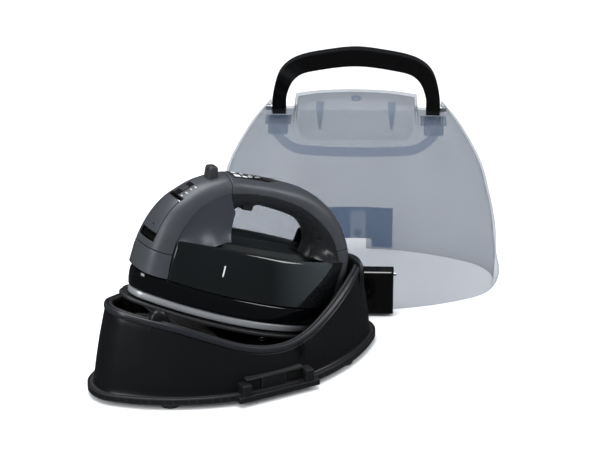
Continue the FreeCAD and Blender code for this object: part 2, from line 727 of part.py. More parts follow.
def steam_chamber_cover():
    body = doc.addObject("PartDesign::Body", "ChamberBody")
    oval_pad(body, "ChamberPad", "110", "38", "10", "3")
    node(body, "steam_chamber_cover", IRON.multiply(Placement(Vector(-12, 0, HEATER_TOP), Rotation())))


def thermostat():
    disc = primitive("Cylinder", "ThermostatDisc", Radius=8, Height=5)
    stem = primitive("Cylinder", "ThermostatStem", (0, 0, 4), Radius=2.5, Height=4)
    node(fuse("Thermostat", [disc, stem]), "thermostat",
         IRON.multiply(Placement(Vector(62, 0, HEATER_TOP), Rotation())))


def thermal_fuse():
    barrel = primitive("Cylinder", "FuseBarrel", Radius=2.2, Height=14)
    leads = primitive("Cylinder", "FuseLeads", (0, 0, -6), Radius=0.6, Height=26)
    node(fuse("ThermalFuse", [barrel, leads]), "thermal_fuse",
         IRON.multiply(Placement(Vector(58, 15, HEATER_TOP + 2.3), Rotation(Vector(0, 1, 0), 90))))


def skirt():
    """Glossy band between the sole plate and the body."""
    bottom, top = size("sole_thickness") + 0.1, size("skirt_top")
    rings = [(bottom, BODY_A - 3, BODY_B - 1.5, 19), (top, BODY_A, BODY_B, 20)]
    through = [(bottom - 1, BODY_A - 6, BODY_B - 4.5, 16), (top + 1, BODY_A - 3, BODY_B - 3, 17)]
    shape = loft(rings, 0, MIDDLE, ruled=True).cut(loft(through, 0, MIDDLE, ruled=True))
    feature("skirt", shape, IRON)


def chassis_plate():
    """Plate that closes the top of the skirt and carries the tank."""
    body = doc.addObject("PartDesign::Body", "ChassisBody")
    oval_pad(body, "ChassisPad", "2 * Sizes.body_half_length - 8", "2 * Sizes.body_half_width - 8",
             "16", "1.6")
    node(body, "chassis_plate",
         IRON.multiply(Placement(Vector(MIDDLE, 0, size("skirt_top") - 1.7), Rotation())))


def heel_zone():
    """Side-view region of the heel body: everything behind the tank and the arch above the opening."""
    return [(tank_end(0) + GAP, 0), (REAR + GAP, TANK_TOP), (REAR + GAP, TANK_TOP + 1.3),
            (40, TANK_TOP + 1.3),
            (30, 95),
            (-30, 92), (ARCH_SEAM_LOW[0] + GAP, ARCH_SEAM_LOW[1]),
            (ARCH_SEAM_TOP[0] + GAP, ARCH_SEAM_TOP[1]), (130, 140), (130, 0)]


GRIP_LINE = [(-70, 112.5), (-40, 118), (0, 119), (34, 111), (58, 98.5), (74, 83.5), (82, 68), (82, -10)]


def above_grip_line(gap=0.0):
    """Top band of the arch, about fifteen millimetres deep."""
    line = [(x, z + gap) for x, z in GRIP_LINE]
    edges = [curve(line)] + lines([line[-1], (140, -10), (140, 150), (-70, 150), line[0]])
    return side_profile(edges, 80)


PANEL = (-55.0, -15.7, 11.0)
BUTTON = (-14.0, -4.0, 6.0)


def handle_shell():
    top = SHELL.common(region(heel_zone())).common(above_grip_line(GAP))
    top = top.common(block((-100, -80, HEEL_SPLIT + GAP), (140, 80, 160)))
    low, high, half = PANEL
    top = top.cut(block((low - 0.2, -half - 0.2, 118), (high + 0.2, half + 0.2, 140)))
    low, high, half = BUTTON
    top = top.cut(block((low - 0.3, -half - 0.3, 118), (high + 0.3, half + 0.3, 140)))
    feature("handle_shell", top, IRON)


TRIGGER = (-34.0, -20.0, 6.0)


def grip_lower():
    """Underside of the grip and inner side of the rear leg."""
    piece = SHELL.common(region(heel_zone())).cut(above_grip_line(-GAP))
    piece = piece.common(block((-100, -80, HEEL_SPLIT + GAP), (140, 80, 160)))
    low, high, half = TRIGGER
    piece = piece.cut(block((low - 0.4, -half - 0.4, 96), (high + 0.4, half + 0.4, 112)))
    feature("grip_lower", piece, IRON)


def heel_cover():
    """Rear lower shell with the openings for the contacts."""
    piece = SHELL.common(region(heel_zone()))
    piece = piece.common(block((-100, -80, 0), (140, 80, HEEL_SPLIT - GAP)))
    holes = [rod(3.2, (80, y, size("contact_height")), (120, y, size("contact_height")))
             for y in CONTACT_SPOTS]
    feature("heel_cover", piece.cut(all_of(holes)), IRON)


def receiver_contacts():
    pads = []
    for number, y in enumerate(CONTACT_SPOTS):
        pads.append(primitive("Cylinder", f"ReceiverPad{number}", (92, y, size("contact_height")),
                              Rotation(Y_AXIS, 90), Radius=3, Height=8.6))
    node(group("ReceiverPads", pads), "receiver_contacts", IRON)


def display_panel():
    low, high, half = PANEL
    piece = body_outline().common(block((low, -half, 118), (high, half, 140)))
    feature("display_panel", piece.cut(body_outline(2.0)), IRON)


def temp_button():
    low, high, half = BUTTON
    key = body_outline(-0.6).common(block((low, -half, 118), (high, half, 140)))
    feature("temp_button", key.cut(body_outline(3.0)), IRON)


def control_board():
    board = primitive("Box", "Board", (-52, -10, 121), Length=70, Width=20, Height=1.6)
    chips = [primitive("Box", f"Chip{i}", (-48 + 18 * i, -5, 119.4), Length=9, Width=9, Height=1.7)
             for i in range(3)]
    node(fuse("ControlBoard", [board] + chips), "control_board", IRON)


def steam_trigger():
    """Trigger under the grip that is squeezed up by the first finger."""
    low, high, half = TRIGGER
    key = block((low, -half, 98), (high, half, 107.5))
    lower = [edge for edge in key.Edges if edge.BoundBox.ZMax < 98.1]
    feature("steam_trigger", key.makeFillet(2.4, lower), IRON)


PUMP_LEVEL = 114.6


def pump_cylinder():
    tube = primitive("Cylinder", "PumpTube", (-14, 0, PUMP_LEVEL), Rotation(Y_AXIS, 90),
                     Radius=4.6, Height=34)
    bore = primitive("Cylinder", "PumpBore", (-15, 0, PUMP_LEVEL), Rotation(Y_AXIS, 90),
                     Radius=3.2, Height=30)
    node(cut("PumpCylinder", tube, bore), "pump_cylinder", IRON)


def pump_piston():
    head = primitive("Cylinder", "PistonHead", (-6, 0, PUMP_LEVEL), Rotation(Y_AXIS, 90),
                     Radius="3.2 - Sizes.running_gap", Height=5)
    stem = primitive("Cylinder", "PistonStem", (-26, 0, PUMP_LEVEL), Rotation(Y_AXIS, 90),
                     Radius=1.5, Height=22)
    node(fuse("PumpPiston", [head, stem]), "pump_piston", IRON)


def casting_screws():
    """Two pan-head screws that hold the heater casting to the sole plate."""
    screws = [primitive("Cylinder", f"CastingScrew{i}", (x, 0, HEATER_TOP), Radius=3, Height=2.4)
              for i, x in enumerate((-92, 78))]
    node(group("CastingScrews", screws), "casting_screws", IRON)


# ---------------------------------------------------------------- the cassette tank

def tank_zone(clear=GAP, low=BODY_BOTTOM, high=TANK_TOP):
    """Side-view region of the tank between two levels, drawn in from its ends."""
    front = FRONT + clear
    return region([(front, low), (tank_end(low) - clear, low), (tank_end(high) - clear, high), (front, high)])


def tank_inside(low, high):
    """Space inside the tank's wall between two levels."""
    inside = loft(BODY_RINGS, size("shell_thickness"), MIDDLE)
    return inside.common(tank_zone(size("shell_thickness") + GAP, low, high))


def water_tank():
    """Smoky tank: outer wall with a ridge, open at the top, closed by the recessed cover."""
    outer = OUTER.common(tank_zone())
    hollow = tank_inside(BODY_BOTTOM + size("shell_thickness"), TANK_TOP + 1)
    outlet = rod(3.0, (OUTLET_X - 6, 0, OUTLET_Z), (OUTLET_X + 6, 0, OUTLET_Z))
    feature("water_tank", outer.cut(hollow).cut(outlet), IRON)


def tank_cover():
    """Recessed deck that closes the tank below its ridge."""
    feature("tank_cover", tank_inside(61, 63.4), IRON)


def tank_seal():
    seal = primitive("Torus", "OutletSeal", (OUTLET_X - 1.6, 0, OUTLET_Z), Rotation(Y_AXIS, 90),
                     Radius1=1.9, Radius2=0.9)
    node(seal, "tank_seal", IRON)


def nose_zone():
    return [(-140, NOSE_SPLIT + GAP), (FRONT - GAP, NOSE_SPLIT + GAP), (FRONT - GAP, TANK_TOP + GAP),
            (ARCH_SEAM_LOW[0] - GAP, TANK_TOP + GAP), (ARCH_SEAM_LOW[0] - GAP, ARCH_SEAM_LOW[1]),
            (ARCH_SEAM_TOP[0] - GAP, ARCH_SEAM_TOP[1]), (-140, 140)]


SIDE_PANEL = [(-97.5, 70), (-46, 70), (-46, 96), (-53, 112), (-62, 112), (-73, 105.5), (-82.5, 97),
              (-91.5, 85)]


def side_panel_zone(outset=0.0):
    face = Part.Face(Part.Wire(lines(SIDE_PANEL + [SIDE_PANEL[0]])))
    if outset:
        face = face.makeOffset2D(outset)
    face.translate(Vector(0, -80, 0))
    both = face.extrude(Vector(0, 160, 0))
    return both.cut(block((-120, -12, 0), (0, 12, 140)))


def knob_axis_rod(radius, low, high):
    foot = Vector(KNOB_FOOT[0], 0, KNOB_FOOT[1])
    return rod(radius, tuple(foot + KNOB_LEAN * low), tuple(foot + KNOB_LEAN * high))


SLIDER = Placement(Vector(-96.5, 0, 106.8), Rotation(Y_AXIS, -44))


def nose_shell():
    """Upper nose and front leg of the arch, with openings for lid, knob and side panels."""
    piece = SHELL.common(region(nose_zone()))
    lid_hole = block((-140, -LID_HALF - 0.3, LID_LOW - 0.3), (-98, LID_HALF + 0.3, LID_HIGH + 2.4))
    recess = placed(block((-9, -5, -1.3), (9, 5, 6)), SLIDER)
    piece = piece.cut(lid_hole).cut(recess).cut(knob_axis_rod(size("knob_radius") + 0.3, -9, 12))
    feature("nose_shell", piece.cut(side_panel_zone(0.1)), IRON)


def side_panels():
    panels = SHELL.common(region(nose_zone())).common(side_panel_zone(-0.1))
    feature("side_panels", panels, IRON)


def nose_lower():
    zone = [(-140, 0), (FRONT - GAP, 0), (FRONT - GAP, NOSE_SPLIT - GAP), (-140, NOSE_SPLIT - GAP)]
    feature("nose_lower", SHELL.common(region(zone)), IRON)


def fill_lid():
    """Flap in the nose with a finger notch at its lower edge."""
    lid = SHELL.common(block((-140, -LID_HALF, LID_LOW), (-98, LID_HALF, LID_HIGH - 0.4)))
    notch = rod(5, (-140, 0, LID_LOW - 2), (-100, 0, LID_LOW - 2))
    feature("fill_lid", lid.cut(notch), IRON)


def lid_pin():
    pin = primitive("Cylinder", "LidPin", Radius=0.9, Height=2 * LID_HALF + 3)
    seat = Placement(Vector(LID_AXIS[0], LID_HALF + 1.5, LID_AXIS[1]), Rotation(Vector(1, 0, 0), 90))
    node(pin, "lid_pin", IRON.multiply(seat))


def steam_knob():
    """Round knob with finger flats, standing square to the nose."""
    body = knob_axis_rod(size("knob_radius"), 0.5, 8.5)
    rim = [edge for edge in body.Edges if edge.Closed]
    body = body.makeFillet(1.2, [max(rim, key=lambda edge: edge.CenterOfMass.z)])
    foot = Vector(KNOB_FOOT[0], 0, KNOB_FOOT[1])
    lever = block((-3, -size("knob_radius") + 0.6, 8), (3, size("knob_radius") - 0.6, 12.5))
    upright = [edge for edge in lever.Edges if edge.BoundBox.ZMin > 12.4]
    lever = lever.makeFillet(1.4, upright)
    lever.Placement = Placement(foot, Rotation(Y_AXIS, -KNOB_TILT))
    feature("steam_knob", body.fuse(lever).removeSplitter(), IRON)


def valve_rod():
    feature("valve_rod", knob_axis_rod(2.0, -38, -3.0).fuse(knob_axis_rod(3.2, -38, -34)), IRON)


def steam_selector():
    key = block((-3.5, -4.4, -1.1), (3.5, 4.4, 1.6))
    upper = [edge for edge in key.Edges if edge.BoundBox.ZMin > 1.5]
    key = key.makeFillet(0.8, upper)
    feature("steam_selector", placed(key, SLIDER), IRON)


# ---------------------------------------------------------------- the carrying case

CASE_RINGS = [(0, 150, 84, 58), (27, 151, 84, 58), (52, 149, 82.5, 57), (80, 145, 79, 55),
              (105, 139, 73.5, 52), (129, 132, 66, 47), (148, 123, 58, 42), (167, 112, 47, 36),
              (184, 100, 35, 27), (196, 90, 24, 20)]
CROWN = size("case_crown")
CENTRE_BLOCK = 63
PIVOT_Z = size("pivot_height")
LEG_IN = size("handle_half_width") - size("handle_bar")
LEG_OUT = size("handle_half_width")
LEG_GAP = 1.5


def case_dome(inset=0.0):
    rings = [(z, a - inset, b - inset, r - inset) for z, a, b, r in CASE_RINGS]
    top = rings[-1]
    rings[-1] = (top[0] - inset,) + top[1:]
    wires = [oval(a, b, r, z) for z, a, b, r in rings]
    if inset:
        wires.insert(0, oval(150 - inset, 84 - inset, 58 - inset, -5))
    return Part.makeLoft(wires, True, False)


def centre_block(inset=0.0):
    """Raised block across the crown that clears the iron's grip."""
    half = CENTRE_BLOCK - inset
    crown = Part.Arc(Vector(-half, 0, 197 - inset), Vector(0, 0, CROWN - inset),
                     Vector(half, 0, 197 - inset)).toShape()
    arch = side_profile([crown] + lines([(half, 197 - inset), (half, 150), (-half, 150),
                                         (-half, 197 - inset)]), 60)
    side = [Vector(0, -38 + inset, 150), Vector(0, -37 + inset, 172), Vector(0, -27 + inset, 196 - inset),
            Vector(0, 0, CROWN + 3 - inset), Vector(0, 27 - inset, 196 - inset),
            Vector(0, 37 - inset, 172), Vector(0, 38 - inset, 150)]
    spline = Part.BSplineCurve()
    spline.interpolate(side)
    face = Part.Face(Part.Wire([spline.toShape(), Part.makeLine(side[-1], side[0])]))
    face.translate(Vector(-80, 0, 0))
    return arch.common(face.extrude(Vector(160, 0, 0)))


def notches(margin=0.0):
    """Room across the crown for the handle's legs, between the centre block and the shoulders."""
    floor = PIVOT_Z - size("handle_bar") / 2 - LEG_GAP - margin
    sides = []
    for side in (-1, 1):
        low, high = sorted((side * (CENTRE_BLOCK - margin), side * (LEG_OUT + LEG_GAP + margin)))
        sides.append(block((low, -100, floor), (high, 100, 260)))
    return all_of(sides)


def pivot_bores():
    return rod(size("pivot_radius") + 0.02, (-100, 0, PIVOT_Z), (100, 0, PIVOT_Z))


LATCH = (37, 5, 46)


def case_shell():
    """Translucent dome with the raised centre block and the notches for the handle."""
    wall = size("case_wall")
    outer = case_dome().fuse(centre_block()).cut(notches())
    inner = case_dome(wall).fuse(centre_block(wall)).cut(notches(wall))
    shell = outer.cut(inner).cut(pivot_bores())
    half, low, high = LATCH
    window = block((-half - 0.8, -110, low - 0.8), (half + 0.8, -60, high + 0.8))
    bottom_notch = block((-12, 60, -5), (12, 110, 12))
    feature("case_shell", shell.cut(window).cut(bottom_notch), CASE)


def handle_sockets():
    """Brackets inside the shell, under and outside the notches, that hold the pivot pins."""
    fit = size("case_wall") + 0.2
    room = case_dome(fit).cut(notches(fit))
    sides = []
    for side in (-1, 1):
        low, high = sorted((side * (LEG_IN - 5), side * (LEG_OUT + 14)))
        sides.append(block((low, -9, 163), (high, 9, 199)).common(room))
    feature("handle_sockets", all_of(sides).cut(pivot_bores()), CASE)


def pivot_pins():
    pins = []
    reach, length = LEG_OUT + 6.5, 19.5
    for number, start in enumerate((-reach, reach - length)):
        pins.append(primitive("Cylinder", f"PivotPin{number}", (start, 0, PIVOT_Z),
                              Rotation(Y_AXIS, 90), Radius="Sizes.pivot_radius", Height=length))
    node(group("PivotPins", pins), "pivot_pins", CASE)


def carry_handle():
    """Square-section bail: two legs, rounded shoulders and a slightly crowned bar."""
    out, inn, top = LEG_OUT, LEG_IN, size("handle_height")
    foot = PIVOT_Z
    outer = [curve([(-out, foot), (-out, 200), (-83.5, 214), (-78, 229), (-67, 240), (-53, 246),
                    (-28, 251), (0, top), (28, 251), (53, 246), (67, 240), (78, 229), (83.5, 214),
                    (out, 200), (out, foot)])]
    inner = [curve([(-inn, foot), (-inn, 198), (-69.5, 210), (-64, 221), (-55, 228), (-44, 231),
                    (-24, 234.5), (0, 236.5), (24, 234.5), (44, 231), (55, 228), (64, 221),
                    (69.5, 210), (inn, 198), (inn, foot)])]
    ends = lines([(-out, foot), (-inn, foot)]) + lines([(inn, foot), (out, foot)])
    half = size("handle_bar") / 2
    bail = side_profile(outer + inner + ends, half)
    knuckles = [rod(half, (low, 0, foot), (low + size("handle_bar"), 0, foot)) for low in (-out, inn)]
    bail = bail.fuse(knuckles[0]).fuse(knuckles[1])
    bore = rod(size("pivot_radius") + size("running_gap"), (-100, 0, foot), (100, 0, foot))
    feature("carry_handle", bail.cut(bore).removeSplitter(), CASE)


def case_latch():
    """Black latch block in the near wall, swinging out about a pin along its top edge."""
    half, low, high = LATCH
    key = block((-half, -100, low), (half, -84.5, high))
    outer_edges = [edge for edge in key.Edges if edge.BoundBox.YMax < -99.9]
    key = key.makeFillet(3, outer_edges)
    recess = block((-11, -102, 14), (11, -94, 32))
    recess = recess.makeFillet(3.5, [edge for edge in recess.Edges if abs(edge.tangentAt(0).y) > 0.9])
    bore = rod(1.5 + size("running_gap"), (-50, -87.5, high - 4), (50, -87.5, high - 4))
    feature("case_latch", key.cut(recess).cut(bore), CASE)


def latch_pin():
    half, _, high = LATCH
    pin = primitive("Cylinder", "LatchPin", (-half - 6, -87.5, high - 4), Rotation(Y_AXIS, 90),
                    Radius=1.5, Height=2 * half + 12)
    node(pin, "latch_pin", CASE)


def latch_housing():
    """Pocket behind the latch, with cheeks that hold the pin."""
    half, low, high = LATCH
    outer = block((-half - 5, -92, low - 3), (half + 5, -70, high + 4))
    room = block((-half - 0.6, -120, low - 0.8), (half + 0.6, -73, high + 0.8))
    bore = rod(1.5, (-half - 8, -87.5, high - 4), (half + 8, -87.5, high - 4))
    inside = case_dome(size("case_wall") + 0.1)
    cheeks = outer.cut(room).common(inside.fuse(block((-half - 5, -92, low - 3), (half + 5, -82, high + 4))))
    feature("latch_housing", cheeks.cut(bore).cut(case_dome().cut(inside)), CASE)


def latch_spring():
    """Leaf spring behind the latch."""
    leaf = primitive("Box", "LatchLeaf", (-5, -73.8, 12), Length=10, Width=0.6, Height=24)
    node(leaf, "latch_spring", CASE)


def far_hook():
    """Deep blue hook plate on the far wall that catches the base's rim."""
    plate = block((-32, 60, 3), (32, 79.4, 50)).cut(block((-29.5, 50, 0), (29.5, 77, 46)))
    band = block((-32, 60, 46), (32, 79.4, 50))
    notch = block((-12, 50, 0), (12, 90, 13))
    hook = block((-9.5, 74, 13), (9.5, 79.4, 46))
    inside = case_dome(size("case_wall") + 0.1)
    feature("far_hook", plate.fuse(band).fuse(hook).cut(notch).common(inside).removeSplitter(), CASE)


BUILDERS = [
    base_floor, base_screws, base_shell, latch_posts, rubber_feet, well_liner, tray_pedestals, tray_pin,
    rest_tray, tray_springs, terminal_tower, contact_pins, terminal_block, heat_shield, reel_shaft,
    cord_reel, wound_cord, spring_drum, rewind_button, mains_plug, cord_tail,
    soleplate, heater_casting, heating_element, steam_chamber_cover, thermostat, thermal_fuse, skirt,
    chassis_plate, handle_shell, grip_lower, heel_cover, receiver_contacts, display_panel, temp_button,
    control_board, steam_trigger, pump_cylinder, pump_piston, casting_screws,
    water_tank, tank_cover, tank_seal, nose_shell, side_panels, nose_lower, fill_lid, lid_pin,
    steam_knob, valve_rod, steam_selector,
    case_shell, handle_sockets, pivot_pins, carry_handle, case_latch, latch_pin, latch_housing,
    latch_spring, far_hook,
]


def check_document():
    """Stop if any object failed or any sub-part has no sound shape."""
    faults = []
    for obj in doc.Objects:
        if "Invalid" in obj.State or "Error" in obj.State:
            faults.append(f"{obj.Label}: {obj.State}")
    for part in NODES:
        if part.Shape.isNull() or not part.Shape.isValid() or not part.Shape.Solids:
            faults.append(f"{part.Label}: shape not sound")
    if faults:
        raise RuntimeError("; ".join(faults))


for build in BUILDERS:
    build()
doc.recompute()
check_document()
os.makedirs("parts", exist_ok=True)
for part in NODES:
    part.Shape.exportStep(f"parts/{part.Label}.step")
print(len(NODES), "sub-parts written")
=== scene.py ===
import math

import bmesh
import bpy
import numpy as np
from mathutils import Matrix, Vector


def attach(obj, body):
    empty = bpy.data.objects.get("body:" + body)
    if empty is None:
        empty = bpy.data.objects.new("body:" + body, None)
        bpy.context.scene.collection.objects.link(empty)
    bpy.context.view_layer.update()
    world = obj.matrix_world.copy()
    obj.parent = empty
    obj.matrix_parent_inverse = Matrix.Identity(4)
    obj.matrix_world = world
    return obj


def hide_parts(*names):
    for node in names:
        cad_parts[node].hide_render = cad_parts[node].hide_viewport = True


# Looks of the cordless steam iron set. Shapes are drawn in millimetres and placed in metres.
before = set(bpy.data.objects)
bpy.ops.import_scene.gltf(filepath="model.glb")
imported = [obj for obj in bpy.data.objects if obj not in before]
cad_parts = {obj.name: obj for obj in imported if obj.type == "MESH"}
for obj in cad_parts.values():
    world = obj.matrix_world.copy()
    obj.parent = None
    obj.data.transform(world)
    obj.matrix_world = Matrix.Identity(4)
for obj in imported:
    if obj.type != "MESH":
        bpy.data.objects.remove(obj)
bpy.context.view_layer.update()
MM = 0.001
# The drawing frames start at the base's middle, the model's frame at the middle of the whole set.
BASE_AT = np.array([-97.03, -71.48, 0.0])

# Frames of the docked iron and of the standing case, in millimetres and degrees.
IRON_PITCH = math.radians(21)
IRON_PLACE = (1.8, 0.0, 55.0)
CASE_PLACE = (205.0, 124.0, 0.0)
CASE_YAW = math.radians(-31)
MIDDLE = -11.0                        # middle of the iron's body along the iron


def iron_to_base(points):
    """Iron frame to the base's frame, both in millimetres."""
    p = np.asarray(points, float)
    c, s = math.cos(IRON_PITCH), math.sin(IRON_PITCH)
    out = np.empty_like(p)
    out[..., 0] = IRON_PLACE[0] + p[..., 0] * c + p[..., 2] * s
    out[..., 1] = p[..., 1]
    out[..., 2] = IRON_PLACE[2] - p[..., 0] * s + p[..., 2] * c
    return out


def case_to_base(points):
    """Case frame to the base's frame, both in millimetres."""
    p = np.asarray(points, float)
    c, s = math.cos(CASE_YAW), math.sin(CASE_YAW)
    out = np.empty_like(p)
    out[..., 0] = CASE_PLACE[0] + p[..., 0] * c - p[..., 1] * s
    out[..., 1] = CASE_PLACE[1] + p[..., 0] * s + p[..., 1] * c
    out[..., 2] = p[..., 2]
    return out


def as_drawn(points):
    """Points left where they are."""
    return np.asarray(points, float)


# ---------------------------------------------------------------- small maths

def smooth(value, low, high):
    """0 below low, 1 above high, an S-curve between."""
    t = np.clip((np.asarray(value, float) - low) / (high - low), 0, 1)
    return t * t * (3 - 2 * t)


def spline_at(p, knots, where):
    """Cubic Hermite curve with finite-difference slopes at the knots."""
    slopes = np.gradient(p, knots, axis=0)
    i = np.clip(np.searchsorted(knots, where, side="right") - 1, 0, len(knots) - 2)
    span = (knots[i + 1] - knots[i])[:, None]
    t = ((where - knots[i])[:, None]) / span
    h00, h10 = 2 * t**3 - 3 * t**2 + 1, t**3 - 2 * t**2 + t
    h01, h11 = -2 * t**3 + 3 * t**2, t**3 - t**2
    return h00 * p[i] + h10 * span * slopes[i] + h01 * p[i + 1] + h11 * span * slopes[i + 1]


def oval_sizes(a, b, r):
    """Reach of the end centres, side radius and drop of the side centres of a four-arc oval."""
    reach = a - r
    side = (reach**2 + b**2 - r**2) / (2 * (b - r))
    return reach, side, side - b


def oval_half_width(x, a, b, r):
    """Half width of a four-arc oval at a distance x from its middle."""
    reach, side, drop = oval_sizes(a, b, r)
    x = np.abs(np.asarray(x, float))
    tangent = reach + r * reach / np.hypot(reach, drop)
    along = np.sqrt(np.maximum(side**2 - x**2, 0)) - drop
    round_end = np.sqrt(np.maximum(r**2 - (x - reach) ** 2, 0))
    return np.where(x < tangent, along, round_end)


def oval_ring(a, b, r, count):
    """Points and outward normals round a four-arc oval, denser at its tight ends."""
    reach, side, drop = oval_sizes(a, b, r)
    lean = math.atan2(drop, reach)
    share = count // 4
    ends = share // 2
    sides = count // 2 - 2 * ends
    # right end half, top side, left end, bottom side, right end half
    plan = [(0, lean, (reach, 0), r, ends), (lean, math.pi - lean, (0, -drop), side, sides),
            (math.pi - lean, math.pi + lean, (-reach, 0), r, 2 * ends),
            (math.pi + lean, 2 * math.pi - lean, (0, drop), side, sides),
            (2 * math.pi - lean, 2 * math.pi, (reach, 0), r, ends)]
    points, normals = [], []
    for start, end, centre, radius, steps in plan:
        for k in range(steps):
            angle = start + (end - start) * k / steps
            n = (math.cos(angle), math.sin(angle))
            normals.append(n)
            points.append((centre[0] + radius * n[0], centre[1] + radius * n[1]))
    return np.array(points), np.array(normals)


# ---------------------------------------------------------------- mesh helpers

def new_object(name, verts, faces, place=as_drawn):
    """Mesh object from millimetre points in a local frame."""
    mesh = bpy.data.meshes.new(name)
    mesh.from_pydata([tuple((v + BASE_AT) * MM) for v in place(np.asarray(verts, float))], [], faces)
    mesh.validate()
    obj = bpy.data.objects.new(name, mesh)
    bpy.context.scene.collection.objects.link(obj)
    tidy = bmesh.new()
    tidy.from_mesh(mesh)
    bmesh.ops.remove_doubles(tidy, verts=tidy.verts, dist=1e-6)
    bmesh.ops.dissolve_degenerate(tidy, dist=1e-7, edges=tidy.edges)
    bmesh.ops.recalc_face_normals(tidy, faces=tidy.faces)
    tidy.to_mesh(mesh)
    tidy.free()
    mesh.polygons.foreach_set("use_smooth", [True] * len(mesh.polygons))
    return obj


def grid_faces(rows, columns, close_rows=False, close_columns=False, skip=None):
    """Quads of a rows by columns grid of points, in row order."""
    faces = []
    for i in range(rows if close_rows else rows - 1):
        for j in range(columns if close_columns else columns - 1):
            if skip is not None and skip(i, j):
                continue
            a, b = i * columns + j, i * columns + (j + 1) % columns
            ii = (i + 1) % rows
            faces.append((a, b, ii * columns + (j + 1) % columns, ii * columns + j))
    return faces


def level_ring(flat, z):
    """Ring of (x, y) points at one height."""
    return np.column_stack([flat, np.full(len(flat), z)])


def sheet(name, points, place=as_drawn, close_rows=False):
    """Object from rows of closed rings of points."""
    p = np.asarray(points, float)
    faces = grid_faces(p.shape[0], p.shape[1], close_rows, True)
    return new_object(name, p.reshape(-1, 3), faces, place)


def closed_sheet(name, outer, inner, place=as_drawn, close_columns=False, skip=None):
    """Solid between two matching grids of points, closed round its open edges and round skipped cells."""
    outer, inner = np.asarray(outer, float), np.asarray(inner, float)
    rows, columns = outer.shape[:2]
    first = grid_faces(rows, columns, close_columns=close_columns, skip=skip)
    shift = rows * columns
    second = [tuple(reversed([v + shift for v in face])) for face in first]
    count = {}
    for face in first:
        for k in range(4):
            edge = (face[k], face[(k + 1) % 4])
            count[edge] = count.get(edge, 0) + 1
    walls = [(b, a, a + shift, b + shift) for a, b in count if (b, a) not in count]
    verts = np.concatenate([outer.reshape(-1, 3), inner.reshape(-1, 3)])
    return new_object(name, verts, first + second + walls, place)


def slab(name, grid, depth, place=iron_to_base):
    """Sheet given a thickness by shifting a copy of its points."""
    return closed_sheet(name, grid, grid + np.array(depth, float), place)


def soften(obj, width=0.4, segments=2, angle=40):
    """Rounded edges and weighted normals."""
    bevel = obj.modifiers.new("edge", "BEVEL")
    bevel.width, bevel.segments = width * MM, segments
    bevel.limit_method, bevel.angle_limit = "ANGLE", math.radians(angle)
    weighted = obj.modifiers.new("normals", "WEIGHTED_NORMAL")
    weighted.keep_sharp = True
    return obj


def revolved(name, profile, place=as_drawn, at=None, steps=48):
    """Solid turned from (radius, height) pairs about the local Z axis, then moved by a matrix."""
    rings = []
    for radius, height in profile:
        angles = np.linspace(0, 2 * math.pi, steps, endpoint=False)
        rings.append(np.stack([radius * np.cos(angles), radius * np.sin(angles),
                               np.full(steps, height)], axis=1))
    points = np.array(rings)
    if at is not None:
        points = moved(points, at)
    faces = grid_faces(len(profile), steps, close_columns=True)
    return new_object(name, points.reshape(-1, 3), faces, place)


def frame_at(origin, up, forward=(1, 0, 0)):
    """Matrix with local Z along up, X near forward, at an origin."""
    z = np.array(up, float) / np.linalg.norm(up)
    y = np.cross(z, forward)
    y /= np.linalg.norm(y)
    x = np.cross(y, z)
    m = np.eye(4)
    m[:3, 0], m[:3, 1], m[:3, 2], m[:3, 3] = x, y, z, origin
    return m


def moved(points, matrix):
    """Points turned and shifted by a 4 by 4 matrix."""
    p = np.asarray(points, float)
    m = np.array(matrix)
    return p @ m[:3, :3].T + m[:3, 3]


def rounded_block(name, low, high, radius, place=as_drawn, segments=3, at=None):
    """Box with rounded edges, made as a bevelled mesh."""
    build = bmesh.new()
    bmesh.ops.create_cube(build, size=1)
    low, high = np.array(low, float), np.array(high, float)
    for v in build.verts:
        v.co = Vector((low + high) / 2 + (high - low) * np.array(v.co))
    bmesh.ops.bevel(build, geom=build.edges[:], offset=radius, segments=segments, affect="EDGES",
                    profile=0.6)
    verts = np.array([v.co[:] for v in build.verts])
    build.verts.index_update()
    faces = [[v.index for v in f.verts] for f in build.faces]
    build.free()
    if at is not None:
        verts = moved(verts, at)
    return soften(new_object(name, verts, faces, place), 0.05, 1, 80)


# ---------------------------------------------------------------- materials

def node_material(name):
    """New material with an empty node tree and its output."""
    material = bpy.data.materials.new(name)
    material.use_nodes = True
    nodes, links = material.node_tree.nodes, material.node_tree.links
    nodes.clear()
    return material, nodes, links, nodes.new("ShaderNodeOutputMaterial")


def add(nodes, links, kind, **inputs):
    """Shader node with its inputs set or linked; an underscore in a keyword stands for a space."""
    made = nodes.new("ShaderNode" + kind)
    for key, value in inputs.items():
        socket = made.inputs[key.replace("_", " ")]
        if isinstance(value, bpy.types.NodeSocket):
            links.new(value, socket)
        else:
            socket.default_value = value
    return made


def noise(nodes, links, scale, detail=4.0, stretch=(1, 1, 1)):
    """Noise in object space, scale in features per metre."""
    place = nodes.new("ShaderNodeTexCoord")
    turn = add(nodes, links, "Mapping", Vector=place.outputs["Object"], Scale=stretch)
    return add(nodes, links, "TexNoise", Vector=turn.outputs["Vector"], Scale=scale, Detail=detail).outputs["Fac"]


def ramp(nodes, links, source, low, high, at=(0.3, 0.7)):
    """Remaps a value to a low-to-high range."""
    return add(nodes, links, "MapRange", Value=source, From_Min=at[0], From_Max=at[1], To_Min=low,
               To_Max=high).outputs["Result"]


def mix_colour(nodes, links, factor, first, second):
    """Blend of two colours, each a tuple or a socket."""
    mix = nodes.new("ShaderNodeMix")
    mix.data_type = "RGBA"
    links.new(factor, mix.inputs["Factor"])
    for slot, colour in (("A", first), ("B", second)):
        if isinstance(colour, tuple):
            mix.inputs[slot].default_value = (*colour, 1)
        else:
            links.new(colour, mix.inputs[slot])
    return mix.outputs["Result"]


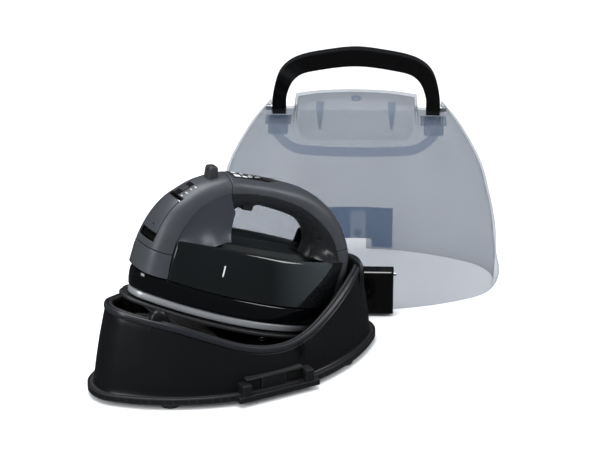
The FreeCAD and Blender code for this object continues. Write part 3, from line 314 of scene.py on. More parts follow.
def mix_shader(nodes, links, factor, first, second):
    """First shader fading into the second as the factor goes from 0 to 1."""
    mix = add(nodes, links, "MixShader", Fac=factor)
    links.new(first.outputs[0], mix.inputs[1])
    links.new(second.outputs[0], mix.inputs[2])
    return mix


def grain_bump(nodes, links, source, depth):
    """Normal of a fine grained surface."""
    return add(nodes, links, "Bump", Strength=depth, Distance=0.0004, Height=source).outputs["Normal"]


def plastic(name, colour, roughness, grain=900, depth=0.03, coat=0.0, metallic=0.0, spread=0.12,
            specular=0.5, edge_wear_and_highlight=0.25, stretch=(1, 1, 1)):
    """Moulded plastic or metal: grain bump, uneven gloss, slight colour drift and lighter convex edges, partly real
    wear and partly a painted highlight.
    """
    material, nodes, links, out = node_material(name)
    darker = tuple(c * (1 - spread) for c in colour)
    lighter = tuple(min(c * (1 + spread), 1) for c in colour)
    tone = mix_colour(nodes, links, ramp(nodes, links, noise(nodes, links, 22, 3), 0, 1), darker, lighter)
    # Lighter colour on convex edges: edge wear, and a painted highlight where the light catches rims.
    edge = nodes.new("ShaderNodeNewGeometry").outputs["Pointiness"]
    worn_and_lit_edges = ramp(nodes, links, edge, 0, edge_wear_and_highlight, (0.52, 0.62))
    tone = mix_colour(nodes, links, worn_and_lit_edges, tone, tuple(min(c * 2.2 + 0.015, 1) for c in colour))
    gloss = ramp(nodes, links, noise(nodes, links, 55, 5), max(roughness * (1 - spread), 0.02),
                 roughness * (1 + 1.4 * spread))
    bump = grain_bump(nodes, links, noise(nodes, links, grain, 6, stretch), depth)
    shader = add(nodes, links, "BsdfPrincipled", Base_Color=tone, Roughness=gloss, Normal=bump, Metallic=metallic,
                 Specular_IOR_Level=specular, Coat_Weight=coat, Coat_Roughness=0.04)
    links.new(shader.outputs["BSDF"], out.inputs["Surface"])
    return material


def clear_plastic(name, tint, gloss_colour, roughness, haze):
    """Tinted see-through plastic: tinted pass-through, a hazy diffuse share and a glossy skin."""
    material, nodes, links, out = node_material(name)
    first = tuple(c * 0.985 for c in tint)
    second = tuple(min(c * 1.015, 1) for c in tint)
    cloud = ramp(nodes, links, noise(nodes, links, 14, 3), 0, 1)
    through = add(nodes, links, "BsdfTransparent", Color=mix_colour(nodes, links, cloud, first, second))
    gloss = ramp(nodes, links, noise(nodes, links, 40, 5), roughness * 0.8, roughness * 1.25)
    bump = grain_bump(nodes, links, noise(nodes, links, 500, 5), 0.02)
    body = add(nodes, links, "BsdfPrincipled", Base_Color=(*gloss_colour, 1), IOR=1.45, Roughness=gloss,
               Normal=bump)
    facing = add(nodes, links, "LayerWeight", Blend=0.35).outputs["Facing"]
    share = ramp(nodes, links, facing, haze, min(haze + 0.45, 1), (0.55, 1.0))
    seen = mix_shader(nodes, links, share, through, body)
    # Shadows through the clear parts stay light.
    lit = add(nodes, links, "BsdfTransparent", Color=(0.93, 0.935, 0.94, 1))
    shadow_ray = nodes.new("ShaderNodeLightPath").outputs["Is Shadow Ray"]
    links.new(mix_shader(nodes, links, shadow_ray, seen, lit).outputs[0], out.inputs["Surface"])
    return material


def paint_light_along(material, colour, low, high):
    """Painted light: a lighter second base colour fading in along the object's length."""
    nodes, links = material.node_tree.nodes, material.node_tree.links
    shader = next(n for n in nodes if n.type == "BSDF_PRINCIPLED")
    source = shader.inputs["Base Color"].links[0].from_socket
    split = nodes.new("ShaderNodeSeparateXYZ")
    links.new(nodes.new("ShaderNodeTexCoord").outputs["Generated"], split.inputs[0])
    share = ramp(nodes, links, split.outputs["X"], 0, 1, (low, high))
    links.new(mix_colour(nodes, links, share, source, colour), shader.inputs["Base Color"])
    return material


MAT = {
    # The base's strong edge lightening paints highlights on the rolled rim and other convex edges.
    "base_black": plastic("base_black_moulded", (0.0042, 0.0045, 0.0056), 0.33, 1500, 0.025, spread=0.06,
                          specular=0.42, edge_wear_and_highlight=0.9),
    # Lighter copy of the base's black for the band along the rolled rim: a painted highlight.
    "rim_painted_highlight": plastic("rim_painted_highlight", (0.0125, 0.0138, 0.0175), 0.30, 1500, 0.025, spread=0.06),
    "black_matte": plastic("black_fine_matte", (0.011, 0.0113, 0.0125), 0.5, 1200, 0.12),
    "rubber": plastic("rubber_foot", (0.012, 0.012, 0.012), 0.8, 700, 0.3, specular=0.25),
    "sole_band": plastic("sole_band", (0.40, 0.41, 0.425), 0.34, 1500, 0.10, metallic=0.55, spread=0.06,
                         stretch=(0.05, 1, 1)),
    "steel_small": plastic("plated_steel", (0.5, 0.5, 0.52), 0.25, 800, 0.03, metallic=1.0),
    "brass": plastic("contact_brass", (0.62, 0.43, 0.17), 0.3, 900, 0.03, metallic=1.0),
    "aluminium": plastic("cast_aluminium", (0.52, 0.53, 0.55), 0.5, 1200, 0.25, metallic=1.0),
    "pale_plate": plastic("pale_plate", (0.30, 0.285, 0.265), 0.5, 700, 0.05),
    "cord": plastic("cord_rubber", (0.014, 0.014, 0.015), 0.55, 900, 0.1),
    "skirt_gloss": plastic("skirt_gloss", (0.0018, 0.002, 0.0026), 0.10, 500, 0.01, coat=0.5, spread=0.06,
                           edge_wear_and_highlight=0.05),
    "grey_satin": plastic("satin_grey_shell", (0.052, 0.056, 0.064), 0.40, 2600, 0.10, metallic=0.25,
                          specular=0.45),
    "grip_black": plastic("grip_black", (0.018, 0.019, 0.021), 0.33, 1600, 0.06),
    "panel_blue_grey": plastic("blue_grey_panel", (0.036, 0.040, 0.050), 0.34, 2200, 0.07, metallic=0.2),
    "display": plastic("display_gloss", (0.004, 0.004, 0.005), 0.05, 300, 0.005, coat=1.0, spread=0.04),
    "gap": plastic("shadow_gap", (0.002, 0.002, 0.002), 0.8, 400, 0.05, specular=0.1),
    "mark": plastic("printed_mark", (0.42, 0.43, 0.44), 0.5, 900, 0.02, edge_wear_and_highlight=0.0),
    "board_green": plastic("board_green", (0.01, 0.09, 0.035), 0.3, 700, 0.05),
    "handle_gloss": plastic("piano_black", (0.0012, 0.0012, 0.0014), 0.08, 350, 0.006, coat=0.6, spread=0.05,
                            edge_wear_and_highlight=0.05),
    "knob_gloss": plastic("knob_dark", (0.03, 0.031, 0.033), 0.22, 900, 0.03),
    "deck_gloss": plastic("deck_gloss", (0.009, 0.0115, 0.0125), 0.42, 500, 0.012, spread=0.06, specular=0.12),
    "case_clear": clear_plastic("case_clear", (0.715, 0.725, 0.742), (0.32, 0.34, 0.375), 0.24, 0.10),
    "mark_bright": plastic("bright_mark", (0.62, 0.63, 0.64), 0.35, 900, 0.02, edge_wear_and_highlight=0.0),
    "grip_satin": plastic("grip_satin", (0.013, 0.0135, 0.0155), 0.27, 1800, 0.05),
    "heel_black": plastic("heel_black", (0.006, 0.0065, 0.0075), 0.28, 1500, 0.05),
    # The tank's lighter rear is painted light, standing in for light from above entering the smoky tank.
    "tank_body": paint_light_along(
        plastic("tank_body", (0.0055, 0.0068, 0.0072), 0.10, 500, 0.012, coat=0.6, spread=0.10),
        (0.040, 0.048, 0.051), 0.55, 0.98),
    "case_lining": clear_plastic("case_lining", (0.93, 0.94, 0.95), (0.42, 0.44, 0.47), 0.3, 0.03),
    "case_band": clear_plastic("case_band", (0.72, 0.78, 0.85), (0.26, 0.33, 0.42), 0.3, 0.22),
    "case_hook": clear_plastic("case_hook", (0.50, 0.61, 0.76), (0.12, 0.20, 0.33), 0.28, 0.26),
    "case_blue": clear_plastic("case_blue", (0.66, 0.73, 0.81), (0.24, 0.31, 0.41), 0.25, 0.24),
}


def finish_piece(obj, body, slot, material, *nodes):
    """Material, body and the CAD nodes the piece stands for; the slot argument is not used."""
    obj.data.materials.clear()
    obj.data.materials.append(MAT[material])
    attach(obj, body)
    if nodes:
        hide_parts(*nodes)
    return obj


# ---------------------------------------------------------------- stage, light and camera

def build_stage():
    """Pale floor, dark in the reflections."""
    floor = bpy.data.meshes.new("floor")
    floor.from_pydata([(6 * x, 6 * y, 0) for x, y in ((-1, -1), (1, -1), (1, 1), (-1, 1))], [], [(0, 1, 2, 3)])
    plane = bpy.data.objects.new("floor", floor)
    bpy.context.scene.collection.objects.link(plane)
    material, nodes, links, out = node_material("studio_floor")
    tone = mix_colour(nodes, links, noise(nodes, links, 3, 2), (0.90, 0.90, 0.90), (0.92, 0.92, 0.92))
    pale = add(nodes, links, "BsdfDiffuse", Color=tone)
    dark = add(nodes, links, "Emission", Color=(0.045, 0.045, 0.048, 1))
    glossy_ray = nodes.new("ShaderNodeLightPath").outputs["Is Glossy Ray"]
    links.new(mix_shader(nodes, links, glossy_ray, pale, dark).outputs[0], out.inputs["Surface"])
    floor.materials.append(material)
    plane.location = (0, 0, -0.0003)


def build_world():
    """White to the camera, softer to the shapes, nearly dark in the reflections."""
    world = bpy.data.worlds.new("studio")
    bpy.context.scene.world = world
    world.use_nodes = True
    nodes, links = world.node_tree.nodes, world.node_tree.links
    nodes.clear()
    out = nodes.new("ShaderNodeOutputWorld")
    seen = add(nodes, links, "Background", Color=(1, 1, 1, 1), Strength=1.3)
    around = add(nodes, links, "Background", Color=(0.9, 0.95, 1.0, 1), Strength=0.75)
    mirrored = add(nodes, links, "Background", Color=(0.85, 0.92, 1.0, 1), Strength=0.055)
    ray = nodes.new("ShaderNodeLightPath").outputs
    lighting = mix_shader(nodes, links, ray["Is Glossy Ray"], around, mirrored)
    links.new(mix_shader(nodes, links, ray["Is Camera Ray"], lighting, seen).outputs[0], out.inputs["Surface"])


def area_light(name, place, target, size, power):
    """Soft box at a place, turned to a target."""
    data = bpy.data.lights.new(name, "AREA")
    data.shape = "RECTANGLE"
    data.size, data.size_y = size
    data.energy = power
    obj = bpy.data.objects.new(name, data)
    obj.location = Vector(place) + Vector(BASE_AT * MM)
    aim = Vector(target) - Vector(place)
    obj.rotation_euler = aim.to_track_quat("-Z", "Y").to_euler()
    bpy.context.scene.collection.objects.link(obj)


CAMERA_AT = (-0.7295, -1.4568, 0.7947)
CAMERA_TURN, CAMERA_TILT = math.radians(-29), math.radians(21.96)


def build_camera():
    """Camera level with the horizon, turned and tilted towards the set."""
    data = bpy.data.cameras.new("camera")
    data.sensor_width, data.lens = 36, 110
    camera = bpy.data.objects.new("camera", data)
    turn, tilt = CAMERA_TURN, CAMERA_TILT
    back = Vector((math.sin(turn) * math.cos(tilt), -math.cos(turn) * math.cos(tilt), math.sin(tilt)))
    right = Vector((math.cos(turn), math.sin(turn), 0))
    up = back.cross(right)
    matrix = Matrix.Identity(4)
    for i, axis in enumerate((right, up, back)):
        for k in range(3):
            matrix[k][i] = axis[k]
    matrix.translation = Vector(CAMERA_AT) + Vector(BASE_AT * MM)
    camera.matrix_world = matrix
    bpy.context.scene.collection.objects.link(camera)
    bpy.context.scene.camera = camera


build_stage()
build_world()
area_light("top_box", (-0.1, 0.15, 1.5), (0.05, 0.05, 0.05), (1.3, 0.9), 26)
area_light("left_box", (-1.3, -0.5, 0.75), (0, 0, 0.1), (0.5, 0.9), 9)
area_light("right_box", (1.2, -0.7, 0.8), (0.1, 0, 0.1), (0.5, 0.8), 8)
build_camera()
bpy.context.scene.view_settings.view_transform = "Standard"


# ---------------------------------------------------------------- heating base

FLANGE = (151.0, 84.0, 35.0)
WALL = ((10.5, 145.0, 78.0, 33.0), (100.0, 129.5, 64.5, 27.0))
WELL = ((8.0, 139.2, 72.2, 30.0), (100.0, 125.9, 60.9, 24.0))
WALL_SHIFT = 1.8                      # the walls' top sits this much nearer the heel
RIM = np.array([(-170, 90.5), (-140, 90), (-126, 88.5), (-114, 85.3), (-84, 77), (-54, 65), (-28, 54.5),
                (0, 47.6), (20, 46.8), (44, 51.5), (70, 62), (100, 75), (120, 82), (132, 84.5), (170, 85)],
               float)
DECK = np.array([(-170, 92), (-134, 84), (-104, 66), (40, 22), (78, 10), (170, 10)], float)
ROUND = 288


def height_along(table, x):
    """Height from a table of (x, z), smooth through its points."""
    x = np.clip(x, table[0, 0], table[-1, 0])
    return spline_at(table[:, 1:], table[:, 0], np.ravel(x))[:, 0].reshape(np.shape(x))


def deck_height(x):
    """Deck height: straight runs with softened corners."""
    spread = np.linspace(-7, 7, 9)
    return np.mean([np.interp(np.asarray(x) + d, DECK[:, 0], DECK[:, 1]) for d in spread], axis=0)


def plan_pair(levels):
    """Lower and upper outline of a tapering oval wall."""
    (low, *small), (high, *large) = levels
    first, normals = oval_ring(*small, ROUND)
    last, _ = oval_ring(*large, ROUND)
    last = last + (WALL_SHIFT, 0)
    return low, high, first, last, normals


def plan_at(pair, z, out=0.0):
    """Points of a tapering oval wall at heights z, pushed out by a distance."""
    low, high, first, last, normals = pair
    share = ((z - low) / (high - low))[:, None]
    flat = first + (last - first) * share + normals * np.reshape(out, (-1, 1))
    return np.column_stack([flat, z])


def rim_ring(pair):
    """Height of the rim over each point of a wall."""
    z = np.full(ROUND, 60.0)
    for _ in range(6):
        z = height_along(RIM, plan_at(pair, z)[:, 0])
    return z


def deck_ring(pair):
    """Height of the deck where it meets each point of a wall."""
    z = np.full(ROUND, 40.0)
    for _ in range(30):
        z = 0.5 * z + 0.5 * deck_height(plan_at(pair, z)[:, 0])
    return z


def build_base_shell():
    """Flange, wall and rolled rim of the base, with a lighter band along the rim as a painted highlight."""
    pair = plan_pair(WALL)
    rim = rim_ring(pair)
    flange, normals = oval_ring(*FLANGE, ROUND)
    rings = []

    def flange_ring(z, out):
        rings.append(level_ring(flange + normals * out, z))

    def wall_ring(z, out):
        rings.append(plan_at(pair, z, out))

    for z, out in ((4.5, -4.5), (4.5, -1.2), (4.8, -0.4), (5.4, 0), (9.4, 0), (10.4, -0.3), (10.9, -0.9),
                   (10.9, -1.6), (10.4, -2.3), (9.8, -2.8)):
        flange_ring(z, out)
    wall_ring(np.full(ROUND, 9.8), 1.2)
    wall_ring(np.full(ROUND, 10.4), 0.5)
    start = np.full(ROUND, 11.6)
    end = rim - 7.4
    for share in np.linspace(0, 1, 16):
        belly = 0.9 * math.sin(math.pi * share)
        wall_ring(start + (end - start) * share, belly * smooth(end - start, 5, 40))
    for down, out in ((6.9, -0.15), (6.6, -0.75), (6.2, -0.8), (5.8, -0.3), (5.2, 0.5), (4.2, 0.95),
                      (2.8, 1.15), (1.4, 0.95), (0.5, 0.45), (0.05, -0.3), (0, -1.0), (0.2, -1.8),
                      (0.8, -2.4), (1.8, -2.6)):
        wall_ring(rim - down, out)
    for share in (0.1, 0.35, 0.7, 1.0):
        wall_ring((rim - 2) * (1 - share) + 9 * share, -2.6)
    flange_ring(8.0, -9.0)
    flange_ring(4.5, -9.0)
    # Lighter band along the rolled rim: a painted highlight of the light catching the rim.
    band = [(plan_at(pair, rim - down + 0.10, out + 0.18), plan_at(pair, rim - down - 0.25, out - 0.45))
            for down, out in ((5.4, 0.4), (4.2, 0.95), (2.8, 1.15), (1.4, 0.95), (0.5, 0.45), (0.05, -0.3))]
    highlight_band = closed_sheet("rim_highlight_band", np.array([b[0] for b in band]), np.array([b[1] for b in band]),
                          close_columns=True)
    finish_piece(highlight_band, "base", "base_black", "rim_painted_highlight")
    shell = sheet("base_shell_wall", np.array(rings), close_rows=True)
    return finish_piece(shell, "base", "base_black", "base_black", "base_shell")


def build_well():
    """Basin inside the wall: rounded lip, fillet and the sloping deck."""
    outer = plan_pair(WALL)
    pair = plan_pair(WELL)
    rim = rim_ring(outer)
    deck = deck_ring(pair)
    foot = np.minimum(deck, rim - 3.5)
    rings = []
    for down, out in ((2.2, -2.75), (0.9, -2.8), (0.25, -3.3), (0.15, -4.2), (0.5, -5.3), (1.3, -6.4)):
        rings.append(plan_at(outer, rim - down, out))
    room = np.maximum(rim - 2.6 - foot, 0.5)
    fillet = np.minimum(9.0, room * 0.75)
    inner = plan_at(outer, rim - 2.6, -7.1)
    wall_foot = plan_at(pair, foot + fillet, -0.6)
    for share in (0, 0.3, 0.7, 1.0):
        rings.append(inner * (1 - share) + wall_foot * share)
    for angle in np.linspace(0.25, 1, 5) * math.pi / 2:
        spot = plan_at(pair, foot + fillet * (1 - math.sin(angle)), -0.6 - fillet * (1 - math.cos(angle)))
        rings.append(spot)
    last = rings[-1]
    for share in np.linspace(0.97, 0.02, 30):
        flat = last[:, :2] * share
        level = np.minimum(deck_height(flat[:, 0]), last[:, 2] + 40 * (1 - share))
        rings.append(np.column_stack([flat, level]))
    rings = np.array(rings)
    under = rings.copy()
    under[:, :, 2] -= 2.0
    well = closed_sheet("well_liner_basin", rings, under, close_columns=True)
    return finish_piece(well, "base", "black_matte", "black_matte", "well_liner")


def build_pedestals():
    """Two arched pivot posts with flared flanks, rounded all over."""
    for side, name in ((-1, "near"), (1, "far")):
        sections = []
        levels = [(60, 17, 7.5, 2.5), (66, 14.5, 6.6, 1.5), (72, 12.2, 5.9, 0.8), (78, 10.2, 5.3, 0.3),
                  (83, 8.8, 4.9, 0), (86.5, 7.2, 4.4, 0), (88.8, 5.0, 3.4, 0), (89.8, 2.6, 2.0, 0),
                  (90, 0.1, 0.1, 0)]
        for z, half_x, half_y, lean in levels:
            angles = np.linspace(0, 2 * math.pi, 40, endpoint=False)
            c, s = np.cos(angles), np.sin(angles)
            x = -95 + lean + half_x * np.sign(c) * np.abs(c) ** 0.75
            y = side * 32.5 + half_y * np.sign(s) * np.abs(s) ** 0.75
            sections.append(np.stack([x, y, np.full(40, z)], axis=1))
        post = sheet(f"pedestal_{name}", np.array(sections))
        finish_piece(post, "base", "base_black", "base_black", *(["tray_pedestals"] if side < 0 else []))
        link = rounded_block(f"pedestal_cheek_{name}", (-104, side * 27 - 1.8, 66),
                             (-97, side * 27 + 1.8, 84), 1.2)
        finish_piece(link, "base", "base_black", "base_black")
    profile = [(0.01, -36.4), (2.0, -36.4), (2.5, -35.9), (2.5, 35.9), (2.0, 36.4), (0.01, 36.4)]
    pin = revolved("tray_hinge_pin", profile, at=frame_at((-95, 0, 84.4), (0, 1, 0)), steps=28)
    finish_piece(pin, "base", "steel", "steel_small", "tray_pin")


def build_latch_posts():
    """Guide posts on the near wall with a ledge between them."""
    parts = [rounded_block("latch_post_left", (-35.5, -86.5, 6), (-26.5, -74, 20.5), 1.1),
             rounded_block("latch_post_right", (30, -86.5, 6), (38.5, -74, 21.5), 1.1),
             rounded_block("latch_ledge", (-29, -80.6, 22.2), (29.5, -73, 24.4), 0.6),
             rounded_block("latch_apron", (-13, -79.6, 9.6), (12.5, -74, 23.4), 0.8),
             rounded_block("latch_step", (-40, -88, 4.6), (44, -76, 10.4), 1.0)]
    for k, part in enumerate(parts):
        finish_piece(part, "base", "base_black", "base_black", *(["latch_posts"] if k == 0 else []))
    slit = rounded_block("latch_slit", (33.4, -77.9, 31.5), (34.4, -72, 44), 0.2)
    finish_piece(slit, "base", "base_black", "gap")
    for low, high, name in ((-26.7, -12.8, "left"), (12.3, 30.2, "right")):
        niche = rounded_block(f"latch_niche_{name}", (low, -78.2, 11.0), (high, -74.5, 20.6), 0.5)
        finish_piece(niche, "base", "base_black", "gap")


def build_tower():
    """Terminal tower behind the heel: a domed block leaning with the iron."""
    half, sections = 26.0, []
    for y in np.linspace(-1, 1, 41):
        fade = (1 - abs(y) ** 6) ** (1 / 6) if abs(y) < 1 else 0.0
        front = iron_to_base([(104.5, 0, z) for z in (-6, 20, 45, 60, 67)])
        back = [(124.3, 84.8), (125.6, 87.2), (127.2, 87.6), (128.6, 86), (129.2, 82.5), (129.4, 60), (128, 12)]
        loop = np.array([(p[0], p[2]) for p in front] + back)
        low = loop[0]
        x = 122 + (loop[:, 0] - 122) * (0.25 + 0.75 * fade)
        z = low[1] + (loop[:, 1] - low[1]) * (0.80 + 0.20 * fade)
        sections.append(np.stack([x, np.full(len(loop), half * y), z], axis=1))
    tower = sheet("terminal_tower_dome", np.array(sections))
    cap_ends(tower)
    finish_piece(tower, "base", "base_black", "base_black", "terminal_tower")


def cap_ends(obj):
    """Closes the first and last ring of a sheet of rings."""
    build = bmesh.new()
    build.from_mesh(obj.data)
    bmesh.ops.holes_fill(build, edges=[e for e in build.edges if e.is_boundary], sides=0)
    bmesh.ops.recalc_face_normals(build, faces=build.faces)
    build.to_mesh(obj.data)
    build.free()
    obj.data.polygons.foreach_set("use_smooth", [True] * len(obj.data.polygons))


def build_heat_plate():
    """Pale ribbed plate lying on the sloping deck."""
    xs = np.linspace(-92, -30, 90)
    ys = np.linspace(-26, 26, 40)
    grid = np.array([[(x, y, deck_height(x) + 1.0 + 0.45 * (math.sin(x * 1.05) > 0.2)) for y in ys]
                     for x in xs])
    under = grid.copy()
    under[:, :, 2] = np.array([[deck_height(x) - 0.5 for y in ys] for x in xs])
    plate = closed_sheet("heat_plate", grid, under)
    finish_piece(plate, "base", "pale_plate", "pale_plate", "heat_shield")


def build_tray():
    """Rest tray the iron's sole lies in: thin dish with a rolled edge."""
    ring, normals = oval_ring(114.5, 57.0, 22.0, ROUND)
    ring = ring + (MIDDLE, 0)
    rings = []
    for z, out in ((-4.2, -3.5), (-4.2, -1.2), (-3.9, -0.4), (-3.2, 0), (-1.9, 0.1), (-1.1, -0.2), (-0.7, -0.9),
                   (-0.75, -1.8), (-1.2, -2.6), (-1.5, -4.2), (-1.5, -8)):
        rings.append(level_ring(ring + normals * out, z))
    flat = rings[-1][:, :2]
    for share, z in ((0.7, -1.5), (0.3, -1.5), (0.02, -1.5), (0.02, -4.2), (0.4, -4.2)):
        rings.append(level_ring((flat - (MIDDLE, 0)) * share + (MIDDLE, 0), z))
    tray = sheet("rest_tray_dish", np.array(rings), iron_to_base, close_rows=True)
    finish_piece(tray, "tray", "black_matte", "black_matte", "rest_tray")


build_base_shell()
build_well()
build_pedestals()
build_latch_posts()
build_tower()
build_heat_plate()
build_tray()


# ---------------------------------------------------------------- iron: sole, skirt and the swept spine

BODY_RINGS = np.array([(23.8, 111.5, 52, 20), (48, 111.5, 51.5, 20), (67, 111.5, 47.5, 20), (85, 111.5, 37.5, 18),
                       (103, 110.5, 26, 14), (118, 109.5, 20, 11), (134, 108.5, 15, 9)], float)
# Outer line (x, z), side edge (x, z) and half width of the spine, in the iron's frame.
SPINE = np.array([
    (-122.3, 26, -99.3, 26, 26.6), (-122.8, 49, -101.3, 49, 25.3), (-121, 62, -100.9, 62.5, 24.5),
    (-118, 76, -97.3, 73, 22.9), (-110, 93, -90, 88.5, 21.2), (-100, 104, -82.5, 98.3, 20.2),
    (-89, 114, -73.5, 106.1, 19.6), (-75, 122, -65.5, 111.4, 19.2), (-60, 128.2, -57, 114.8, 19.0),
    (-35, 130.6, -35, 118.8, 18.8), (0, 131.5, -2, 119.3, 18.6), (31, 129, 24, 114.6, 18.8),
    (60, 117.4, 48, 104.4, 19.1), (83, 98, 68, 89.6, 19.3), (96.5, 77.5, 79, 73.5, 19.4),
    (101, 50, 84.8, 49, 20), (101, 26, 86, 26, 20.5)], float)
SPINE_AT = np.concatenate([[0], np.cumsum(np.linalg.norm(np.diff(SPINE[:, :2], axis=0), axis=1))])
POWER = 2.6
SEAM = SPINE_AT[8]
RIDGE = np.array([(-101, 63.7), (-80, 66), (-59, 67.6), (14, 69.4), (68, 71.2), (80, 71.5)], float)
HEEL_SPLIT = SPINE_AT[13] + 0.62 * (SPINE_AT[14] - SPINE_AT[13])


def side_of(x, z):
    """Half width of the iron's body at a place along it and a height."""
    a, b, r = (np.interp(z, BODY_RINGS[:, 0], BODY_RINGS[:, k]) for k in (1, 2, 3))
    return oval_half_width(np.asarray(x) - MIDDLE, a, b, r)


def spine_rows(s):
    """Rows of SPINE at distances along it."""
    return spline_at(SPINE, SPINE_AT, np.asarray(s, float))


def on_spine(s, t, lift=0.0):
    """Surface points for matching arrays s (along) and t (-1 far edge to 1 near edge)."""
    s, t = np.broadcast_arrays(np.asarray(s, float), np.asarray(t, float))

    def point(s, t):
        rows = spine_rows(s.ravel())
        angle = np.abs(t.ravel()) * math.pi / 2
        drop = 1 - np.cos(angle) ** (2 / POWER)
        out = -np.sin(angle) ** (2 / POWER) * np.sign(t.ravel())
        return np.stack([rows[:, 0] + (rows[:, 2] - rows[:, 0]) * drop, rows[:, 4] * out,
                         rows[:, 1] + (rows[:, 3] - rows[:, 1]) * drop], axis=1).reshape(*s.shape, 3)

    base = point(s, t)
    if np.ndim(lift) == 0 and lift == 0:
        return base
    step = 0.02
    along = point(np.clip(s + 0.8, 0, SPINE_AT[-1]), t) - point(np.clip(s - 0.8, 0, SPINE_AT[-1]), t)
    across = point(s, np.clip(t + step, -1, 1)) - point(s, np.clip(t - step, -1, 1))
    normal = np.cross(along, across)
    normal /= np.maximum(np.linalg.norm(normal, axis=-1, keepdims=True), 1e-9)
    middle = np.array([5.0, 0, 40.0])
    flip = np.sign(np.sum(normal * (base - middle), axis=-1, keepdims=True))
    return base + normal * flip * np.reshape(lift, (*np.shape(lift), 1) if np.ndim(lift) else (1,))


def spine_t(s, y):
    """t whose half width is y at s."""
    w = spine_rows(np.atleast_1d(s))[0, 4]
    return math.asin(min(y / w, 1) ** (POWER / 2)) * 2 / math.pi


def spine_piece(name, s_values, t_values, thickness=2.2, lift=0.0, skip=None):
    """Curved plate on the spine over a grid of s and t."""
    s, t = np.meshgrid(s_values, t_values, indexing="ij")
    outer = on_spine(s, t, lift)
    inner = on_spine(s, t, lift - thickness)
    return closed_sheet(name, outer, inner, iron_to_base, skip=skip)


def build_sole():
    """Sole plate with a rounded edge."""
    ring, normals = oval_ring(107.0, 49.5, 18.0, ROUND)
    ring = ring + (MIDDLE, 0)
    rings = []
    for z, out in ((0, -1.6), (0.15, -0.7), (0.7, -0.1), (1.5, 0.15), (5.6, 0.5), (6.4, 0.2), (6.9, -0.5),
                   (6.95, -1.5)):
        rings.append(level_ring(ring + normals * out, z))
    for share, z in ((0.5, 6.9), (0.02, 6.9), (0.02, 0), (0.5, 0)):
        rings.append(level_ring((ring - (MIDDLE, 0)) * share + (MIDDLE, 0), z))
    sole = sheet("sole_plate", np.array(rings), iron_to_base, close_rows=True)
    finish_piece(sole, "iron", "steel", "sole_band", "soleplate")


def build_skirt():
    """Gloss band round the sole and the dark filler above it."""
    low, normals = oval_ring(108.5, 50.5, 19.0, ROUND)
    high, _ = oval_ring(111.5, 52.0, 20.0, ROUND)
    low, high = low + (MIDDLE, 0), high + (MIDDLE, 0)
    rings = []
    for share, out in ((0, -2.6), (0.0, -0.8), (0.02, -0.2), (0.06, 0.15), (0.3, 0.75), (0.55, 0.95), (0.8, 0.7),
                       (0.94, 0.2), (0.985, -0.5), (1.0, -1.4), (1.0, -3.0)):
        flat = low + (high - low) * share + normals * out
        rings.append(level_ring(flat, 7.1 + 17.9 * share))
    rings.append(rings[-1] - (0, 0, 2.0))
    rings.append(level_ring(low - normals * 2.6, 9.0))
    skirt = sheet("skirt_band", np.array(rings), iron_to_base, close_rows=True)
    finish_piece(skirt, "iron", "skirt_gloss", "skirt_gloss", "skirt")
    # Dark filler seen through the gap between skirt and body.
    ring, normals = oval_ring(109.0, 49.5, 19.0, ROUND)
    ring = ring + (MIDDLE, 0)
    rings = [level_ring(ring + normals * out, z)
             for z, out in ((23.5, -6), (23.5, 0), (27.5, 0), (27.5, -6))]
    gap = sheet("body_gap_filler", np.array(rings), iron_to_base, close_rows=True)
    finish_piece(gap, "iron", "black_matte", "gap")


LID_LOW, LID_HIGH = 29.5, 79.5        # spine distance of the lid's ends
LID_HALF = 14.0


def across(limit=1.0, count=56):
    """Evenly spaced t from -limit to limit."""
    return np.linspace(-limit, limit, count + 1)


def build_nose():
    """Nose shells of the cassette, with the filler lid and its finger notch."""
    lower = spine_piece("nose_lower_shell", np.linspace(0.4, SPINE_AT[1] - 0.35, 12), across())
    finish_piece(soften(lower, 0.5), "cassette", "grey_satin", "grey_satin", "nose_lower")
    lid_t = spine_t((LID_LOW + LID_HIGH) / 2, LID_HALF)
    s_low, s_high = LID_LOW, LID_HIGH
    s = np.concatenate([np.linspace(SPINE_AT[1] + 0.35, s_low, 8), np.linspace(s_low, s_high, 16)[1:],
                        np.linspace(s_high, SEAM - 0.4, 26)[1:]])
    t = np.concatenate([np.linspace(-1, -lid_t, 17), np.linspace(-lid_t, lid_t, 17)[1:],
                        np.linspace(lid_t, 1, 17)[1:]])
    shell = spine_piece("nose_upper_shell", s, t, skip=lambda i, j: 7 <= i < 22 and 16 <= j < 32)
    finish_piece(soften(shell, 0.5), "cassette", "grey_satin", "grey_satin", "nose_shell")
    seat = spine_piece("lid_seat", np.linspace(s_low - 1, s_high + 1, 12), across(lid_t * 1.1, 16), 1.2, -3.4)
    finish_piece(seat, "cassette", "black_matte", "gap")
    lid = spine_piece("fill_lid_cover", np.linspace(s_low + 8.6, s_high - 4.2, 16),
                      across(lid_t * 0.965, 20), 2.2, -0.05)
    finish_piece(soften(lid, 0.7, 3), "lid", "grey_satin", "grey_satin", "fill_lid")
    spot = (np.array([s_low + 15.0]), np.array([lid_t * 0.30]))
    where = on_spine(*spot)[0]
    normal = on_spine(*spot, 1.0)[0] - where
    dot = revolved("lid_dot", [(0.01, -0.5), (0.85, -0.5), (0.85, 0.06), (0.01, 0.06)], iron_to_base,
                   frame_at(where, normal), 20)
    finish_piece(dot, "lid", "grey_satin", "gap")
    profile = [(0.01, -13.2), (0.6, -13.2), (0.85, -12.9), (0.85, 12.9), (0.6, 13.2), (0.01, 13.2)]
    pin = revolved("lid_hinge_pin", profile, iron_to_base, frame_at((-102.6, 0, 96.0), (0, 1, 0)), 20)
    finish_piece(pin, "cassette", "steel", "steel_small", "lid_pin")


